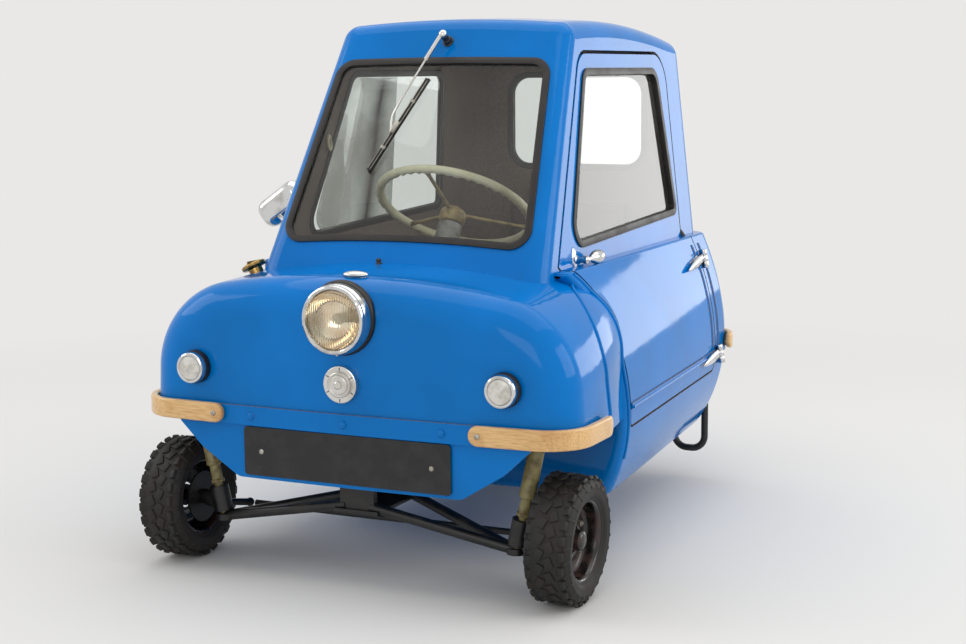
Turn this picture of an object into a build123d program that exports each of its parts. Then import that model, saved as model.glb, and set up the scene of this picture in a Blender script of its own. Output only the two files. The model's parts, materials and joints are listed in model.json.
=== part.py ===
"""Single-seat three wheeled microcar, full size, in millimetres.

The front faces -Y, the car's own left side (the door side) is +X and +Z is up.
The origin is on the floor, under the middle of the car.
"""
from build123d import *
from math import atan2, cos, radians, sin, tan
import os

# Mouldings: walls, the joint between the upper and the lower one, and their ends
wall = 8.0
seam_z = 355.0
nose_y = -640.0
nose_bow_radius = 9000.0
nose_edge_radius = 75.0

# Nose moulding, sections along the car: y, half width, top of the flat side, shoulder inset and height
nose_sections = [
    (-225.0, 462.0, 470.0, 152.0, 640.0),
    (-470.0, 500.0, 430.0, 165.0, 626.0),
    (-660.0, 496.0, 425.0, 168.0, 620.0),
]
nose_side_lean = 7.0
nose_bottom_z = 300.0
nose_edge_z = 330.0

# Passenger cell below the waist, plan sections up the car: z, front y, rear y, half widths, corner radii
cell_sections = [
    (148.0, -262.0, 612.0, 430.0, 366.0, 34.0, 60.0),
    (355.0, -262.0, 664.0, 477.0, 428.0, 20.0, 62.0),
    (505.0, -268.0, 666.0, 444.0, 414.0, 22.0, 60.0),
    (645.0, -352.0, 662.0, 374.0, 368.0, 26.0, 56.0),
]
cell_bottom_radius = 24.0
waist_radius = 7.0

# Cab above the waist: z, front y, half width
cab_foot = (625.0, -414.0, 345.0)
cab_head = (1240.0, -74.5, 277.0)
cab_front_radius = 48.0
cab_rear_radius = 56.0
cab_tail_y = 662.0
roof_z = 1188.0
roof_crown_radius = 3200.0
roof_crown_y = 120.0
roof_edge_radius = 44.0
scuttle_shelf = 20.0

# Joint flange round the tub and strip along the front
belt_height = 13.0
belt_proud = 4.0
strip_low_z = 330.0
strip_high_z = 371.0
strip_half = 408.0
strip_proud = 6.0

# Window openings and their rubbers
seal_width = 16.0
seal_lip = 4.0
seal_bite = 7.0
pane_thick = 4.0
pane_edge = 11.0
screen_foot_z = 688.0
screen_head_z = 1091.0
screen_foot_half = 304.0
screen_head_half = 263.0
screen_foot_bow = 14.0
screen_head_bow = 5.0
screen_radius = 46.0
side_window = [(-238.0, 678.0, 48.0), (492.0, 702.0, 26.0), (440.0, 1070.0, 46.0), (-60.0, 1070.0, 44.0)]
rear_window_half = 200.0
rear_window_low_z = 800.0
rear_window_high_z = 1062.0
rear_window_radius = 60.0

# Door: thickness, gaps and outline in side view as y, z and corner radius
door_thick = 16.0
door_gap = 5.5
door_lead_gap = 8.0
door_corners = [
    (-236.0, 300.0, 18.0),
    (-236.0, 599.0, 165.0),
    (-320.0, 652.0, 3.0),
    (-75.0, 1110.0, 70.0),
    (515.0, 1110.0, 85.0),
    (515.0, 300.0, 18.0),
]
hinge_y = 521.0
hinge_low = (449.0, 345.0)
hinge_high = (404.0, 588.0)
hinge_barrel_radius = 8.0
hinge_barrel_length = 46.0
hinge_strap_length = 96.0
hinge_strap_height = 26.0
hinge_leaf_stand = 7.0
hinge_pin_radius = 4.0

# Footwell between the front wheels, valance below the front strip and its number plate
footwell_half = 200.0
footwell_front_y = -600.0
footwell_low_z = 207.0
footwell_high_z = 575.0
footwell_wall = 6.0
valance_half = 410.0
valance_waist = (354.0, 272.0)
valance_foot_half = 262.0
valance_foot_z = 215.0
valance_thick = 6.0
valance_recess = 2.0
plate_width = 485.0
plate_height = 104.0
plate_thick = 3.0
plate_centre_z = 275.0
plate_hole_half = 200.0
plate_hole_radius = 3.5
plate_spacer_radius = 9.0

# Bumperettes: gap to the skin, thickness, height and where they start and end
bumper_gap = 7.0
bumper_thick = 15.0
bumper_height = 42.0
bumper_low_z = 332.0
bumper_inner_x = 287.0
bumper_end_y = -440.0
rear_bumper_low_z = 347.0
rear_bumper_start_y = 590.0
rear_bumper_inner_x = 250.0

# Lamps, horn and other fittings
headlamp_z = 571.0
headlamp_radius = 72.0
headlamp_front_y = -677.0
headlamp_bucket_radius = 54.0
headlamp_bucket_gap = 6.0
headlamp_bucket_wall = 5.0
lens_radius = 62.0
lens_bulge = 15.0
side_lamp_x = 360.0
side_lamp_z = 447.0
side_lamp_radius = 34.0
side_lamp_front_y = -662.0
side_lens_radius = 26.0
horn_z = 435.0
horn_radius = 39.0
horn_front_y = -655.0
rear_lamp_x = 330.0
rear_lamp_z = 470.0
rear_lamp_radius = 32.0
rear_lamp_depth = 26.0
fuel_cap_at = (-369.0, -372.0, 616.0)
fuel_cap_tilt_deg = 25.0
fuel_cap_radius = 31.0
fuel_cap_height = 24.0
fuel_neck_height = 12.0

mirror_at = (-396.0, -212.0, 753.0)
mirror_foot = (-275.0, 735.0)
mirror_radius = 55.0
mirror_depth = 20.0
wiper_spindle = (5.0, 1128.0)
wiper_blade_top = (-30.0, 1050.0)
wiper_blade_foot = (-122.0, 846.0)
wiper_lift = 4.2
wiper_arm_lift = 11.2
wiper_blade_width = 9.0
wiper_blade_height = 11.4
door_handle_at = (-222.0, 660.0)
door_handle_reach = 26.0
grab_half = 75.0
grab_reach = 40.0
grab_z = 735.0
grab_radius = 8.0
hoop_inner_x = 302.0
hoop_outer_x = 384.0
hoop_y = 600.0
hoop_low_z = 74.0
hoop_radius = 9.0

# Wheels
tyre_radius = 133.0
tyre_width = 98.0
tread_half = 28.0
bead_radius = 80.0
rim_width = 78.0
hub_radius = 27.0
camber_deg = 2.0
front_wheel_x = 455.0
front_wheel_y = -543.0
rear_wheel_y = 505.0
axle_radius = 12.0
disc_z = 10.0
pin_gap = 0.3

# Steering and front suspension
kingpin_foot = (362.0, -560.0, 160.0)
kingpin_lean_deg = 12.0
strut_radius = 17.0
strut_top_z = 352.0
kingpin_radius = 9.0
boss_radius = 21.0
boss_low_z = 114.0
boss_high_z = 168.0
arm_tube_radius = 11.0
track_ball = (338.0, -478.0, 114.0)
track_rod_radius = 7.0
track_gap = 17.0
arm_pivot_x = 28.0
arm_pivot_z = 166.0
arm_pivot_front_y = -585.0
arm_pivot_rear_y = -430.0
fork_pivot = (296.0, 130.0)
fork_half = 66.0
steering_hub = (4.0, -114.0, 755.0)
steering_rake_deg = 33.0
steering_rim_radius = 178.0
steering_rim_tube = 10.0
steering_spoke_radius = 5.0
steering_spoke_turns = (-90.0, 30.0, 150.0)
column_radius = 14.0
column_start = 46.0
shaft_radius = 9.0

# Seat and the box over the engine and rear wheel
seat_box_half = 300.0
seat_box_front_y = 190.0
seat_box_top_z = 340.0
seat_box_wall = 6.0
cushion_thick = 80.0
wheel_slot_half = 80.0
wheel_slot_front_y = 335.0
wheel_slot_top_z = 300.0
seat_half = 190.0
seat_front_y = 160.0
seat_back_y = 520.0
seat_back_top_z = 740.0
seat_back_lean = 52.0
engine_low = (-255.0, 330.0, 156.0)
engine_high = (-100.0, 560.0, 320.0)
pedal_shaft_y = -470.0
pedal_shaft_z = 470.0
pedal_foot = (-505.0, 300.0)
pedal_rows = [(-125.0, 46.0), (-70.0, 46.0), (90.0, 40.0)]
gear_lever_at = (-225.0, 60.0)
gear_lever_length = 260.0

parts = {}


def mirror_x(shape):
    """The same shape on the other side of the car."""
    return shape.mirror(Plane.YZ)


def mirror_z(shape):
    """The same shape below its own middle plane."""
    return shape.mirror(Plane.XY)


def add(name, shape):
    """Keep a finished piece under its node name."""
    parts[name] = shape


# Body surfaces, each one a function of how far inside the outer skin it lies
def nose_section(y, half, side_top_z, shoulder_in, shoulder_z, inset):
    """Closed section of the nose across the car: flat side, round shoulder and crowned top."""
    foot_x = half - inset
    side_x = half - nose_side_lean - inset
    end_x = half - nose_side_lean - shoulder_in - inset * 0.2
    end_z = shoulder_z - inset
    side_z = side_top_z - inset * 0.3
    run = side_x - end_x
    rise = end_z - side_z
    radius = (run * run + rise * rise) / (2 * run)
    slope = atan2(end_x - side_x + radius, rise)
    crown = end_x * tan(slope / 2)
    half_turn = (atan2(rise, end_x - side_x + radius)) / 2
    mid_x = side_x - radius + radius * cos(half_turn)
    mid_z = side_z + radius * sin(half_turn)
    edges = [
        Line((-foot_x, nose_bottom_z), (foot_x, nose_bottom_z)),
        Line((foot_x, nose_bottom_z), (side_x, side_z)),
        ThreePointArc((side_x, side_z), (mid_x, mid_z), (end_x, end_z)),
        ThreePointArc((end_x, end_z), (0, end_z + crown), (-end_x, end_z)),
        ThreePointArc((-end_x, end_z), (-mid_x, mid_z), (-side_x, side_z)),
        Line((-side_x, side_z), (-foot_x, nose_bottom_z)),
    ]
    plane = Plane(origin=(0, y, 0), x_dir=(1, 0, 0), z_dir=(0, -1, 0))
    return plane * make_face(edges)


def nose_solid(inset):
    """The nose and wings as one closed solid, with its front edge rounded over."""
    sections = [nose_section(*row, inset) for row in nose_sections]
    body = loft(sections)
    bow_centre = nose_y + nose_bow_radius
    bow = Pos(0, bow_centre, 450) * Cylinder(nose_bow_radius - inset, 1000)
    body = body & bow
    front = [e for e in body.edges() if abs(e.center().Y - nose_y) < 60 and e.center().Z > nose_bottom_z + 20]
    return fillet(front, nose_edge_radius - inset)


def plan_outline(z, front_y, rear_y, half_front, half_rear, r_front, r_rear, inset):
    """Plan of the passenger cell at one height, corners rounded."""
    corners = [
        (half_front - inset, front_y + inset),
        (half_rear - inset, rear_y - inset),
        (-half_rear + inset, rear_y - inset),
        (-half_front + inset, front_y + inset),
    ]
    face = make_face(Polyline(corners, close=True))
    front = [v for v in face.vertices() if v.Y < front_y + inset + 1]
    face = fillet(front, max(r_front - inset, 3.0))
    rear = [v for v in face.vertices() if v.Y > rear_y - inset - 1]
    face = fillet(rear, r_rear - inset)
    return Pos(0, 0, z) * face


def cell_solid(inset):
    """The passenger cell from its floor up to the waist ledge."""
    floor_z = cell_sections[0][0] + inset
    waist_z = cell_sections[-1][0] - inset
    faces = []
    for row in cell_sections:
        z = min(max(row[0], floor_z), waist_z)
        faces.append(plan_outline(z, *row[1:], inset))
    body = loft(faces)
    if inset <= 0:
        bottom = body.faces().sort_by(Axis.Z)[0].edges()
        body = fillet(bottom, cell_bottom_radius)
        body = fillet(body.faces().sort_by(Axis.Z)[-1].edges(), waist_radius)
    return body


def cab_solid(inset):
    """The cab above the waist: raked screen, sides leaning in, crowned roof."""
    low_z, low_y, low_half = cab_foot
    high_z, high_y, high_half = cab_head
    faces = []
    for z in (low_z + (scuttle_shelf if inset > 0 else 0), high_z):
        part = (z - low_z) / (high_z - low_z)
        front_y = low_y + (high_y - low_y) * part
        half = low_half + (high_half - low_half) * part
        row = (front_y, cab_tail_y, half, half, cab_front_radius, cab_rear_radius)
        faces.append(plan_outline(z, *row, inset))
    body = loft(faces)
    crown_z = roof_z - roof_crown_radius
    body = body & (Pos(0, roof_crown_y, crown_z) * Sphere(roof_crown_radius - inset))
    top = body.faces().sort_by(Axis.Z)[-1]
    return fillet(top.edges(), roof_edge_radius - inset)


# Small helpers for placing bars, plates and turned pieces
def rod(start, end, radius):
    """Round bar between two points."""
    along = Vector(*end) - Vector(*start)
    plane = Plane(origin=start, z_dir=along)
    return plane * (Pos(0, 0, along.length / 2) * Cylinder(radius, along.length))


def block(low, high):
    """Square block between two opposite corners."""
    size = [b - a for a, b in zip(low, high)]
    centre = [(a + b) / 2 for a, b in zip(low, high)]
    return Pos(*centre) * Box(*size)


def slab(face, low, high):
    """A flat outline given thickness between two heights above its own plane."""
    return Pos(0, 0, low) * extrude(face, high - low, dir=(0, 0, 1))


def rounded_outline(corners):
    """Closed outline from rows of x, y and corner radius, where 0 is a sharp corner."""
    face = make_face(Polyline([(x, y) for x, y, _ in corners], close=True))
    for x, y, radius in corners:
        near = face.vertices().sort_by_distance(Vector(x, y, 0))[0]
        face = fillet(near, radius) if radius > 0 else face
    return face


def window(plane, outline, depth, pane_depth):
    """Hole cutter, rubber ring and pane of one window whose outline is the rubber's outer edge."""
    hole = offset(outline, -seal_bite)
    sight = offset(outline, -seal_width)
    glass = slab(offset(outline, -pane_edge), -pane_depth, pane_thick - pane_depth)
    ring = slab(outline - sight, -depth - seal_lip, seal_lip) - glass
    return plane * slab(hole, -3 * depth, 3 * depth), plane * ring, plane * glass


def side_x(z):
    """Half width of the cab's flat side at one height."""
    low_z, _, low_half = cab_foot
    high_z, _, high_half = cab_head
    return low_half + (high_half - low_half) * (z - low_z) / (high_z - low_z)


def nose_front(x):
    """Y of the nose's bowed front at one place across the car."""
    return nose_y + x * x / (2 * nose_bow_radius)


# Closed outer and inner volumes of the body
nose_outer = nose_solid(0)
cell_outer = cell_solid(0)
cab_outer = cab_solid(0)


def neck(inset):
    """The opening that joins the cell's inside to the cab's inside through the waist."""
    waist = cell_sections[-1]
    half = side_x(waist[0])
    face = plan_outline(0, waist[1], waist[2], half, half, waist[5], waist[6], inset)
    return slab(face, waist[0] - inset - 8, waist[0] + inset + 20)


def inside(inset):
    """The room inside the cell and cab, this far inside their outer skin."""
    return cell_solid(inset) + cab_solid(inset) + neck(inset)


cabin = inside(wall)
nose_hollow = nose_solid(wall) - cell_outer - cab_outer
below_seam = block((-700, -900, -100), (700, 900, seam_z))
tub_outer = cell_outer & below_seam
hood = nose_outer & block((-700, -900, nose_edge_z), (700, 900, 900))
upper_outer = (hood + (cell_outer - below_seam) + cab_outer) - tub_outer

# Windows: raked screen, right side, rear, and the one in the door
screen_slope = (cab_head[1] - cab_foot[1]) / (cab_head[0] - cab_foot[0])
screen_foot_y = cab_foot[1] + screen_slope * (screen_foot_z - cab_foot[0])
screen_plane = Plane(origin=(0, screen_foot_y, screen_foot_z), x_dir=(1, 0, 0), z_dir=(0, -1, screen_slope))
screen_rise = (screen_head_z - screen_foot_z) * (1 + screen_slope ** 2) ** 0.5
foot, head = screen_foot_half, screen_head_half
screen_outline = make_face([
    ThreePointArc((-foot, 0), (0, screen_foot_bow), (foot, 0)),
    Line((foot, 0), (head, screen_rise)),
    ThreePointArc((head, screen_rise), (0, screen_rise + screen_head_bow), (-head, screen_rise)),
    Line((-head, screen_rise), (-foot, 0)),
])
screen_outline = fillet(screen_outline.vertices(), screen_radius)
side_lean = (cab_foot[2] - cab_head[2]) / (cab_head[0] - cab_foot[0])
side_rise = (1 + side_lean ** 2) ** 0.5


def on_side(corners):
    """Outline rows in y and z laid on the cab's leaning side plane, as measured along it."""
    return rounded_outline([(y, (z - cab_foot[0]) * side_rise, radius) for y, z, radius in corners])


side_plane = Plane(origin=(cab_foot[2], 0, cab_foot[0]), x_dir=(0, 1, 0), z_dir=(1, 0, side_lean))
rear_plane = Plane(origin=(0, cab_tail_y, 0), x_dir=(-1, 0, 0), z_dir=(0, 1, 0))
rear_outline = rounded_outline([
    (-rear_window_half, rear_window_low_z, rear_window_radius),
    (rear_window_half, rear_window_low_z, rear_window_radius),
    (rear_window_half, rear_window_high_z, rear_window_radius),
    (-rear_window_half, rear_window_high_z, rear_window_radius),
])
screen_cut, screen_ring, screen_glass = window(screen_plane, screen_outline, wall, 6.0)
side_cut, side_ring, side_glass = window(side_plane, on_side(side_window), wall, 6.0)
side_cut, side_ring, side_glass = [mirror_x(piece) for piece in (side_cut, side_ring, side_glass)]
rear_cut, rear_ring, rear_glass = window(rear_plane, rear_outline, wall, 6.0)
door_cut, door_ring, door_glass = window(side_plane, on_side(side_window), door_thick, 12.0)

# Door outline in side view, and the same one gap smaller for the door itself
door_plane = Plane(origin=(200, 0, 0), x_dir=(0, 1, 0), z_dir=(1, 0, 0))
door_hole = door_plane * slab(rounded_outline(door_corners), 0, 400)
lead = door_lead_gap - door_gap
door_face = offset(rounded_outline(door_corners), -door_gap)
shifted = Pos(lead, -lead) * door_face
door_leaf = door_plane * slab(door_face & shifted, 0, 400)

# Joint flange round the tub, and the strip that covers it along the nose
belt = cell_solid(-belt_proud) - cell_outer
belt_zone = block((-700, cell_sections[1][1] + 30, seam_z - belt_height), (700, 900, seam_z))
belt = belt & belt_zone
strip = nose_solid(-strip_proud) - nose_outer
strip = strip & block((-strip_half, -900, strip_low_z), (strip_half, -500, strip_high_z))

# Rear wheel slot, footwell opening and lamp holes
wheel_slot = block((-wheel_slot_half, wheel_slot_front_y, 100), (wheel_slot_half, 720, wheel_slot_top_z))
footwell_outer = block((-footwell_half, footwell_front_y, footwell_low_z),
                       (footwell_half, cell_sections[1][1] + 120, footwell_high_z))
footwell_outer = fillet(footwell_outer.edges().filter_by(Axis.Y), 30)
footwell_outer = fillet(footwell_outer.faces().sort_by(Axis.Y)[0].edges(), 24)
footwell_room = block((-footwell_half + footwell_wall, footwell_front_y + footwell_wall,
                       footwell_low_z + footwell_wall),
                      (footwell_half - footwell_wall, cell_sections[1][1] + 120, footwell_high_z - footwell_wall))
footwell_room = fillet(footwell_room.edges().filter_by(Axis.Y), 24)
footwell_room = fillet(footwell_room.faces().sort_by(Axis.Y)[0].edges(), 18)
headlamp_hole = Pos(0, 0, headlamp_z) * Rot(90, 0, 0) * Cylinder(headlamp_bucket_radius, 1400)
headlamp_hole = headlamp_hole & block((-100, -700, 300), (100, -560, 700))

upper_body = upper_outer - cabin - nose_hollow + strip
upper_body = upper_body - door_hole - screen_cut - side_cut - rear_cut - footwell_room - headlamp_hole
lower_body = (tub_outer - cabin) + belt
lower_body = lower_body - door_hole - wheel_slot - footwell_room
add("upper_body", upper_body)
add("lower_body", lower_body)
add("footwell_box", footwell_outer - footwell_room - cell_outer)

door_shell = ((upper_outer + tub_outer + belt) - inside(door_thick)) & door_leaf
door_shell = door_shell - door_cut
add("door_shell", door_shell)

add("windscreen_glass", screen_glass)
add("windscreen_seal", screen_ring - upper_body)
add("side_window_glass", side_glass)
add("side_window_seal", side_ring - upper_body)
add("rear_window_glass", rear_glass)
add("rear_window_seal", rear_ring - upper_body)
add("door_glass", door_glass)
add("door_seal", door_ring - door_shell)


# Valance under the nose, and the number plate on it
def bow_cylinder(inset):
    """Upright cylinder that follows the nose's bowed front."""
    return Pos(0, nose_y + nose_bow_radius, 300) * Cylinder(nose_bow_radius - inset, 800)


valance_rows = [
    (-valance_half, strip_low_z, 3.0),
    (-valance_half, strip_low_z - 6, 3.0),
    (-valance_waist[0], valance_waist[1], 60.0),
    (-valance_foot_half, valance_foot_z, 30.0),
    (valance_foot_half, valance_foot_z, 30.0),
    (valance_waist[0], valance_waist[1], 60.0),
    (valance_half, strip_low_z - 6, 3.0),
    (valance_half, strip_low_z, 3.0),
]
front_plane = Plane(origin=(0, 0, 0), x_dir=(1, 0, 0), z_dir=(0, -1, 0))
valance = front_plane * slab(rounded_outline(valance_rows), 560, 700)
valance = valance & (bow_cylinder(valance_recess) - bow_cylinder(valance_recess + valance_thick))
plate_back_y = nose_y + valance_recess
plate = block((-plate_width / 2, plate_back_y - plate_thick, plate_centre_z - plate_height / 2),
              (plate_width / 2, plate_back_y, plate_centre_z + plate_height / 2))
plate = fillet(plate.edges().filter_by(Axis.Y), 8)
for x in (-plate_hole_half, plate_hole_half):
    spacer = rod((x, plate_back_y, plate_centre_z), (x, plate_back_y + 30, plate_centre_z), plate_spacer_radius)
    plate = plate + (spacer - bow_cylinder(valance_recess))
    bolt = rod((x, -700, plate_centre_z), (x, -600, plate_centre_z), plate_hole_radius)
    plate = plate - bolt
    valance = valance - bolt
add("front_valance", valance)
add("front_plate", plate)


# Bumperettes wrap the front and rear corners, with rounded ends
def nose_plan(z):
    """Plan of the nose at one height, its sides as straight runs between its sections."""
    side = []
    for y, half, side_top_z, _, _ in nose_sections:
        side.append((half - nose_side_lean * (z - nose_bottom_z) / (side_top_z - nose_bottom_z), y))
    back, middle, front = side
    front = (front[0], nose_front(front[0]))
    left = [(-x, y) for x, y in (front, middle, back)]
    edges = [ThreePointArc(left[0], (0, nose_y), front), Polyline([front, middle, back, *reversed(left)])]
    face = make_face(edges)
    return fillet([v for v in face.vertices() if v.Y < nose_y + 60], nose_edge_radius)


def bumperette(plan, low_z, inner_x, side_end_y, way):
    """Strip round one corner of a plan outline; way is -1 in front and 1 behind."""
    high_z = low_z + bumper_height
    outer = offset(plan, bumper_gap + bumper_thick)
    strip = slab(outer - offset(plan, bumper_gap), low_z, high_z)
    end_radius = bumper_height / 2 - 0.5
    far_y = way * 900
    across = rounded_outline([
        (inner_x, low_z, end_radius), (700, low_z, 0), (700, high_z, 0), (inner_x, high_z, end_radius),
    ])
    along = rounded_outline([
        (side_end_y, low_z, end_radius), (far_y, low_z, 0), (far_y, high_z, 0), (side_end_y, high_z, end_radius),
    ])
    front_view = Plane(origin=(0, 900, 0), x_dir=(1, 0, 0), z_dir=(0, -1, 0))
    side_view = Plane(origin=(0, 0, 0), x_dir=(0, 1, 0), z_dir=(1, 0, 0))
    return strip & (front_view * slab(across, 0, 1800)) & (side_view * slab(along, 0, 700))


front_bumper = bumperette(nose_plan(seam_z), bumper_low_z, bumper_inner_x, bumper_end_y, -1)
add("front_bumperettes", front_bumper + mirror_x(front_bumper))
cell_at_seam = plan_outline(0, *cell_sections[1][1:], 0)
rear_bumper = bumperette(cell_at_seam, rear_bumper_low_z, rear_bumper_inner_x, rear_bumper_start_y, 1)
add("rear_bumperettes", rear_bumper + mirror_x(rear_bumper))


# Lamps, horn, filler cap and other fittings
def forward(x, z, y, radius, length):
    """Round bar that points forwards from one place, its front face at y."""
    return rod((x, y, z), (x, y + length, z), radius)


shell = forward(0, headlamp_z, headlamp_front_y, headlamp_radius, 130)
shell = fillet(shell.faces().sort_by(Axis.Y)[0].edges(), 6)
shell = shell - nose_outer
bucket_depth = footwell_front_y - headlamp_bucket_gap - headlamp_front_y
bucket = forward(0, headlamp_z, headlamp_front_y, headlamp_bucket_radius, bucket_depth)
bowl = forward(0, headlamp_z, headlamp_front_y - 5, lens_radius, 19)
bowl = bowl + forward(0, headlamp_z, headlamp_front_y, headlamp_bucket_radius - headlamp_bucket_wall,
                      bucket_depth - headlamp_bucket_wall)
add("headlamp_shell", shell + bucket - bowl)
lens_sphere = (lens_radius ** 2 + lens_bulge ** 2) / (2 * lens_bulge)
lens_face_y = headlamp_front_y + 8
dome = Pos(0, lens_face_y - lens_bulge + lens_sphere, headlamp_z) * Sphere(lens_sphere)
lens = forward(0, headlamp_z, lens_face_y - 40, lens_radius, 46) & dome
add("headlamp_lens", lens)

rims = []
lenses = []
for x in (-side_lamp_x, side_lamp_x):
    rim = forward(x, side_lamp_z, side_lamp_front_y, side_lamp_radius, 60)
    rim = chamfer(rim.faces().sort_by(Axis.Y)[0].edges(), 5) - nose_outer
    well = forward(x, side_lamp_z, side_lamp_front_y - 5, side_lens_radius, 11)
    rims.append(rim - well)
    cap = forward(x, side_lamp_z, side_lamp_front_y - 5, side_lens_radius, 11)
    lenses.append(fillet(cap.faces().sort_by(Axis.Y)[0].edges(), 4.5))
add("side_lamp_rims", rims[0] + rims[1])
add("side_lamp_lenses", lenses[0] + lenses[1])

horn = forward(0, horn_z, horn_front_y, horn_radius, 60)
horn = fillet(horn.faces().sort_by(Axis.Y)[0].edges(), 6) - nose_outer
add("horn_disc", horn)

rear_lamps = []
for x in (-rear_lamp_x, rear_lamp_x):
    lamp = rod((x, 600, rear_lamp_z), (x, cab_tail_y + 6 + rear_lamp_depth, rear_lamp_z), rear_lamp_radius)
    lamp = fillet(lamp.faces().sort_by(Axis.Y)[-1].edges(), 9) - cell_outer
    rear_lamps.append(lamp.solids().sort_by(Axis.Y)[-1])
add("rear_lamps", rear_lamps[0] + rear_lamps[1])

tilt = radians(fuel_cap_tilt_deg)
cap_plane = Plane(origin=fuel_cap_at, x_dir=(0, 1, 0), z_dir=(-sin(tilt), 0, cos(tilt)))
cap_neck = cap_plane * slab(Circle(fuel_cap_radius - 8), -30, fuel_neck_height + 2) - nose_outer
lid = slab(Circle(fuel_cap_radius), fuel_neck_height, fuel_cap_height)
lid = cap_plane * chamfer(lid.faces().sort_by(Axis.Z)[-1].edges(), 4)
add("fuel_cap", lid + cap_neck.solids().sort_by(Axis.Z)[-1])

# Mirror on the right screen pillar, and the wiper over the screen
mirror_root = (-side_x(mirror_foot[1]) + 3, *mirror_foot)
mirror_turn = Plane(origin=mirror_at, x_dir=(1, 0, 0), z_dir=(-0.2, 1, 0))
mirror_head = Pos(0, 0, -mirror_depth / 2) * Cylinder(mirror_radius, mirror_depth)
mirror_head = mirror_turn * chamfer(mirror_head.faces().sort_by(Axis.Z)[0].edges(), mirror_depth * 0.6)
mirror_arm = rod(mirror_root, mirror_at, 5)
add("mirror", (mirror_head + mirror_arm) - upper_outer)


def on_screen(x, z, lift):
    """Point in the windscreen's plane, lifted off it."""
    along = (z - screen_foot_z) * (1 + screen_slope ** 2) ** 0.5
    return screen_plane.from_local_coords((x, along, lift))


blade_top = on_screen(*wiper_blade_top, wiper_lift)
blade_foot = on_screen(*wiper_blade_foot, wiper_lift)
blade_middle = (blade_top + blade_foot) / 2
blade_plane = Plane(origin=blade_middle, x_dir=(blade_top - blade_foot), z_dir=screen_plane.z_dir)
blade = blade_plane * Box((blade_top - blade_foot).length, wiper_blade_width, wiper_blade_height)
spindle_foot = on_screen(*wiper_spindle, -4)
spindle_head = on_screen(*wiper_spindle, wiper_arm_lift + 5)
spindle = rod(tuple(spindle_foot), tuple(spindle_head), 11)
arm_root = on_screen(*wiper_spindle, wiper_arm_lift)
arm_end = blade_middle + screen_plane.z_dir * (wiper_arm_lift - wiper_lift)
arm = rod(tuple(arm_root), tuple(arm_end), 3.5)
add("wiper", (spindle - upper_outer) + arm + blade)

# Door handle, hinge straps on the door and hinge brackets on the body
handle_y, handle_z = door_handle_at
handle_x = side_x(handle_z)
handle_plane = Plane(origin=(handle_x, handle_y, handle_z), x_dir=(0, 1, 0), z_dir=(1, 0, side_lean))
backplate = handle_plane * slab(Ellipse(11, 26), -4, 4) - upper_outer
lever_x = handle_x + door_handle_reach
lever = rod((handle_x + 1, handle_y, handle_z), (lever_x + 6, handle_y, handle_z), 9)
lever = lever + rod((lever_x, handle_y, handle_z), (lever_x, handle_y + 50, handle_z), 6)
knob = rod((lever_x, handle_y + 42, handle_z), (lever_x, handle_y + 90, handle_z), 15)
knob = chamfer(knob.edges().filter_by(GeomType.CIRCLE), 7)
add("door_handle", backplate + lever + knob)

low_x, low_z = hinge_low
high_x, high_z = hinge_high
hinge_axis = Vector(high_x - low_x, 0, high_z - low_z).normalized()
straps = []
brackets = []
for x, z in (hinge_low, hinge_high):
    frame = Plane(origin=(x, hinge_y, z), x_dir=(hinge_axis.Z, 0, -hinge_axis.X), z_dir=hinge_axis)
    third = hinge_barrel_length / 3
    knuckle = Cylinder(hinge_barrel_radius, third - 1) - Cylinder(hinge_pin_radius + pin_gap, third)
    ends = Pos(0, 0, third) * Cylinder(hinge_barrel_radius, third)
    ends = ends + Pos(0, 0, -third) * Cylinder(hinge_barrel_radius, third)
    ends = ends + Cylinder(hinge_pin_radius, hinge_barrel_length)
    half = hinge_strap_height / 2
    spear = make_face(Polyline([
        (-door_gap - 7, half), (-hinge_strap_length * 0.45, half * 0.9), (-hinge_strap_length, 2),
        (-hinge_strap_length, -2), (-hinge_strap_length * 0.45, -half * 0.9), (-door_gap - 7, -half),
    ], close=True))
    spear_plane = Plane(origin=(0, 0, 0), x_dir=(0, 1, 0), z_dir=(1, 0, 0))
    leaf = spear_plane * slab(spear, -30, -hinge_leaf_stand)
    bridge = block((-hinge_barrel_radius, -door_gap - 12, -third / 2 + 0.5), (-2, 0, third / 2 - 0.5))
    bridge = bridge - Cylinder(hinge_pin_radius + pin_gap, third)
    strap = frame * (leaf + bridge + knuckle)
    strap = strap - upper_outer - tub_outer - belt
    straps.append(strap.solids().sort_by(SortBy.VOLUME)[-1])
    plate_leaf = block((-30, 8, -hinge_barrel_length / 2), (-hinge_leaf_stand, 34, hinge_barrel_length / 2))
    plate_bridge = block((-hinge_barrel_radius, 0, third / 2), (-2, 14, hinge_barrel_length / 2))
    plate_bridge = plate_bridge + mirror_z(plate_bridge)
    brackets.append((frame * (plate_leaf + plate_bridge + ends)) - upper_outer - tub_outer - belt)
add("hinge_straps", straps[0] + straps[1])
add("hinge_brackets", brackets[0] + brackets[1])


# Bent tubes: the handle across the tail, and the hoops under the tub's rear corners
def bent_tube(points, bend, radius):
    """Round bar swept along straight runs joined by arcs."""
    path = FilletPolyline(*points, radius=bend)
    return sweep(Plane(origin=path @ 0, z_dir=path % 0) * Circle(radius), path)


grab = bent_tube([
    (-grab_half, cab_tail_y - 10, grab_z), (-grab_half, cab_tail_y + grab_reach, grab_z),
    (grab_half, cab_tail_y + grab_reach, grab_z), (grab_half, cab_tail_y - 10, grab_z),
], 14, grab_radius)
for x in (-grab_half, grab_half):
    grab = grab + rod((x, cab_tail_y - 6, grab_z), (x, cab_tail_y + 5, grab_z), 17)
add("grab_handle", (grab - upper_outer).solids().sort_by(Axis.Y)[-1])

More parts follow.
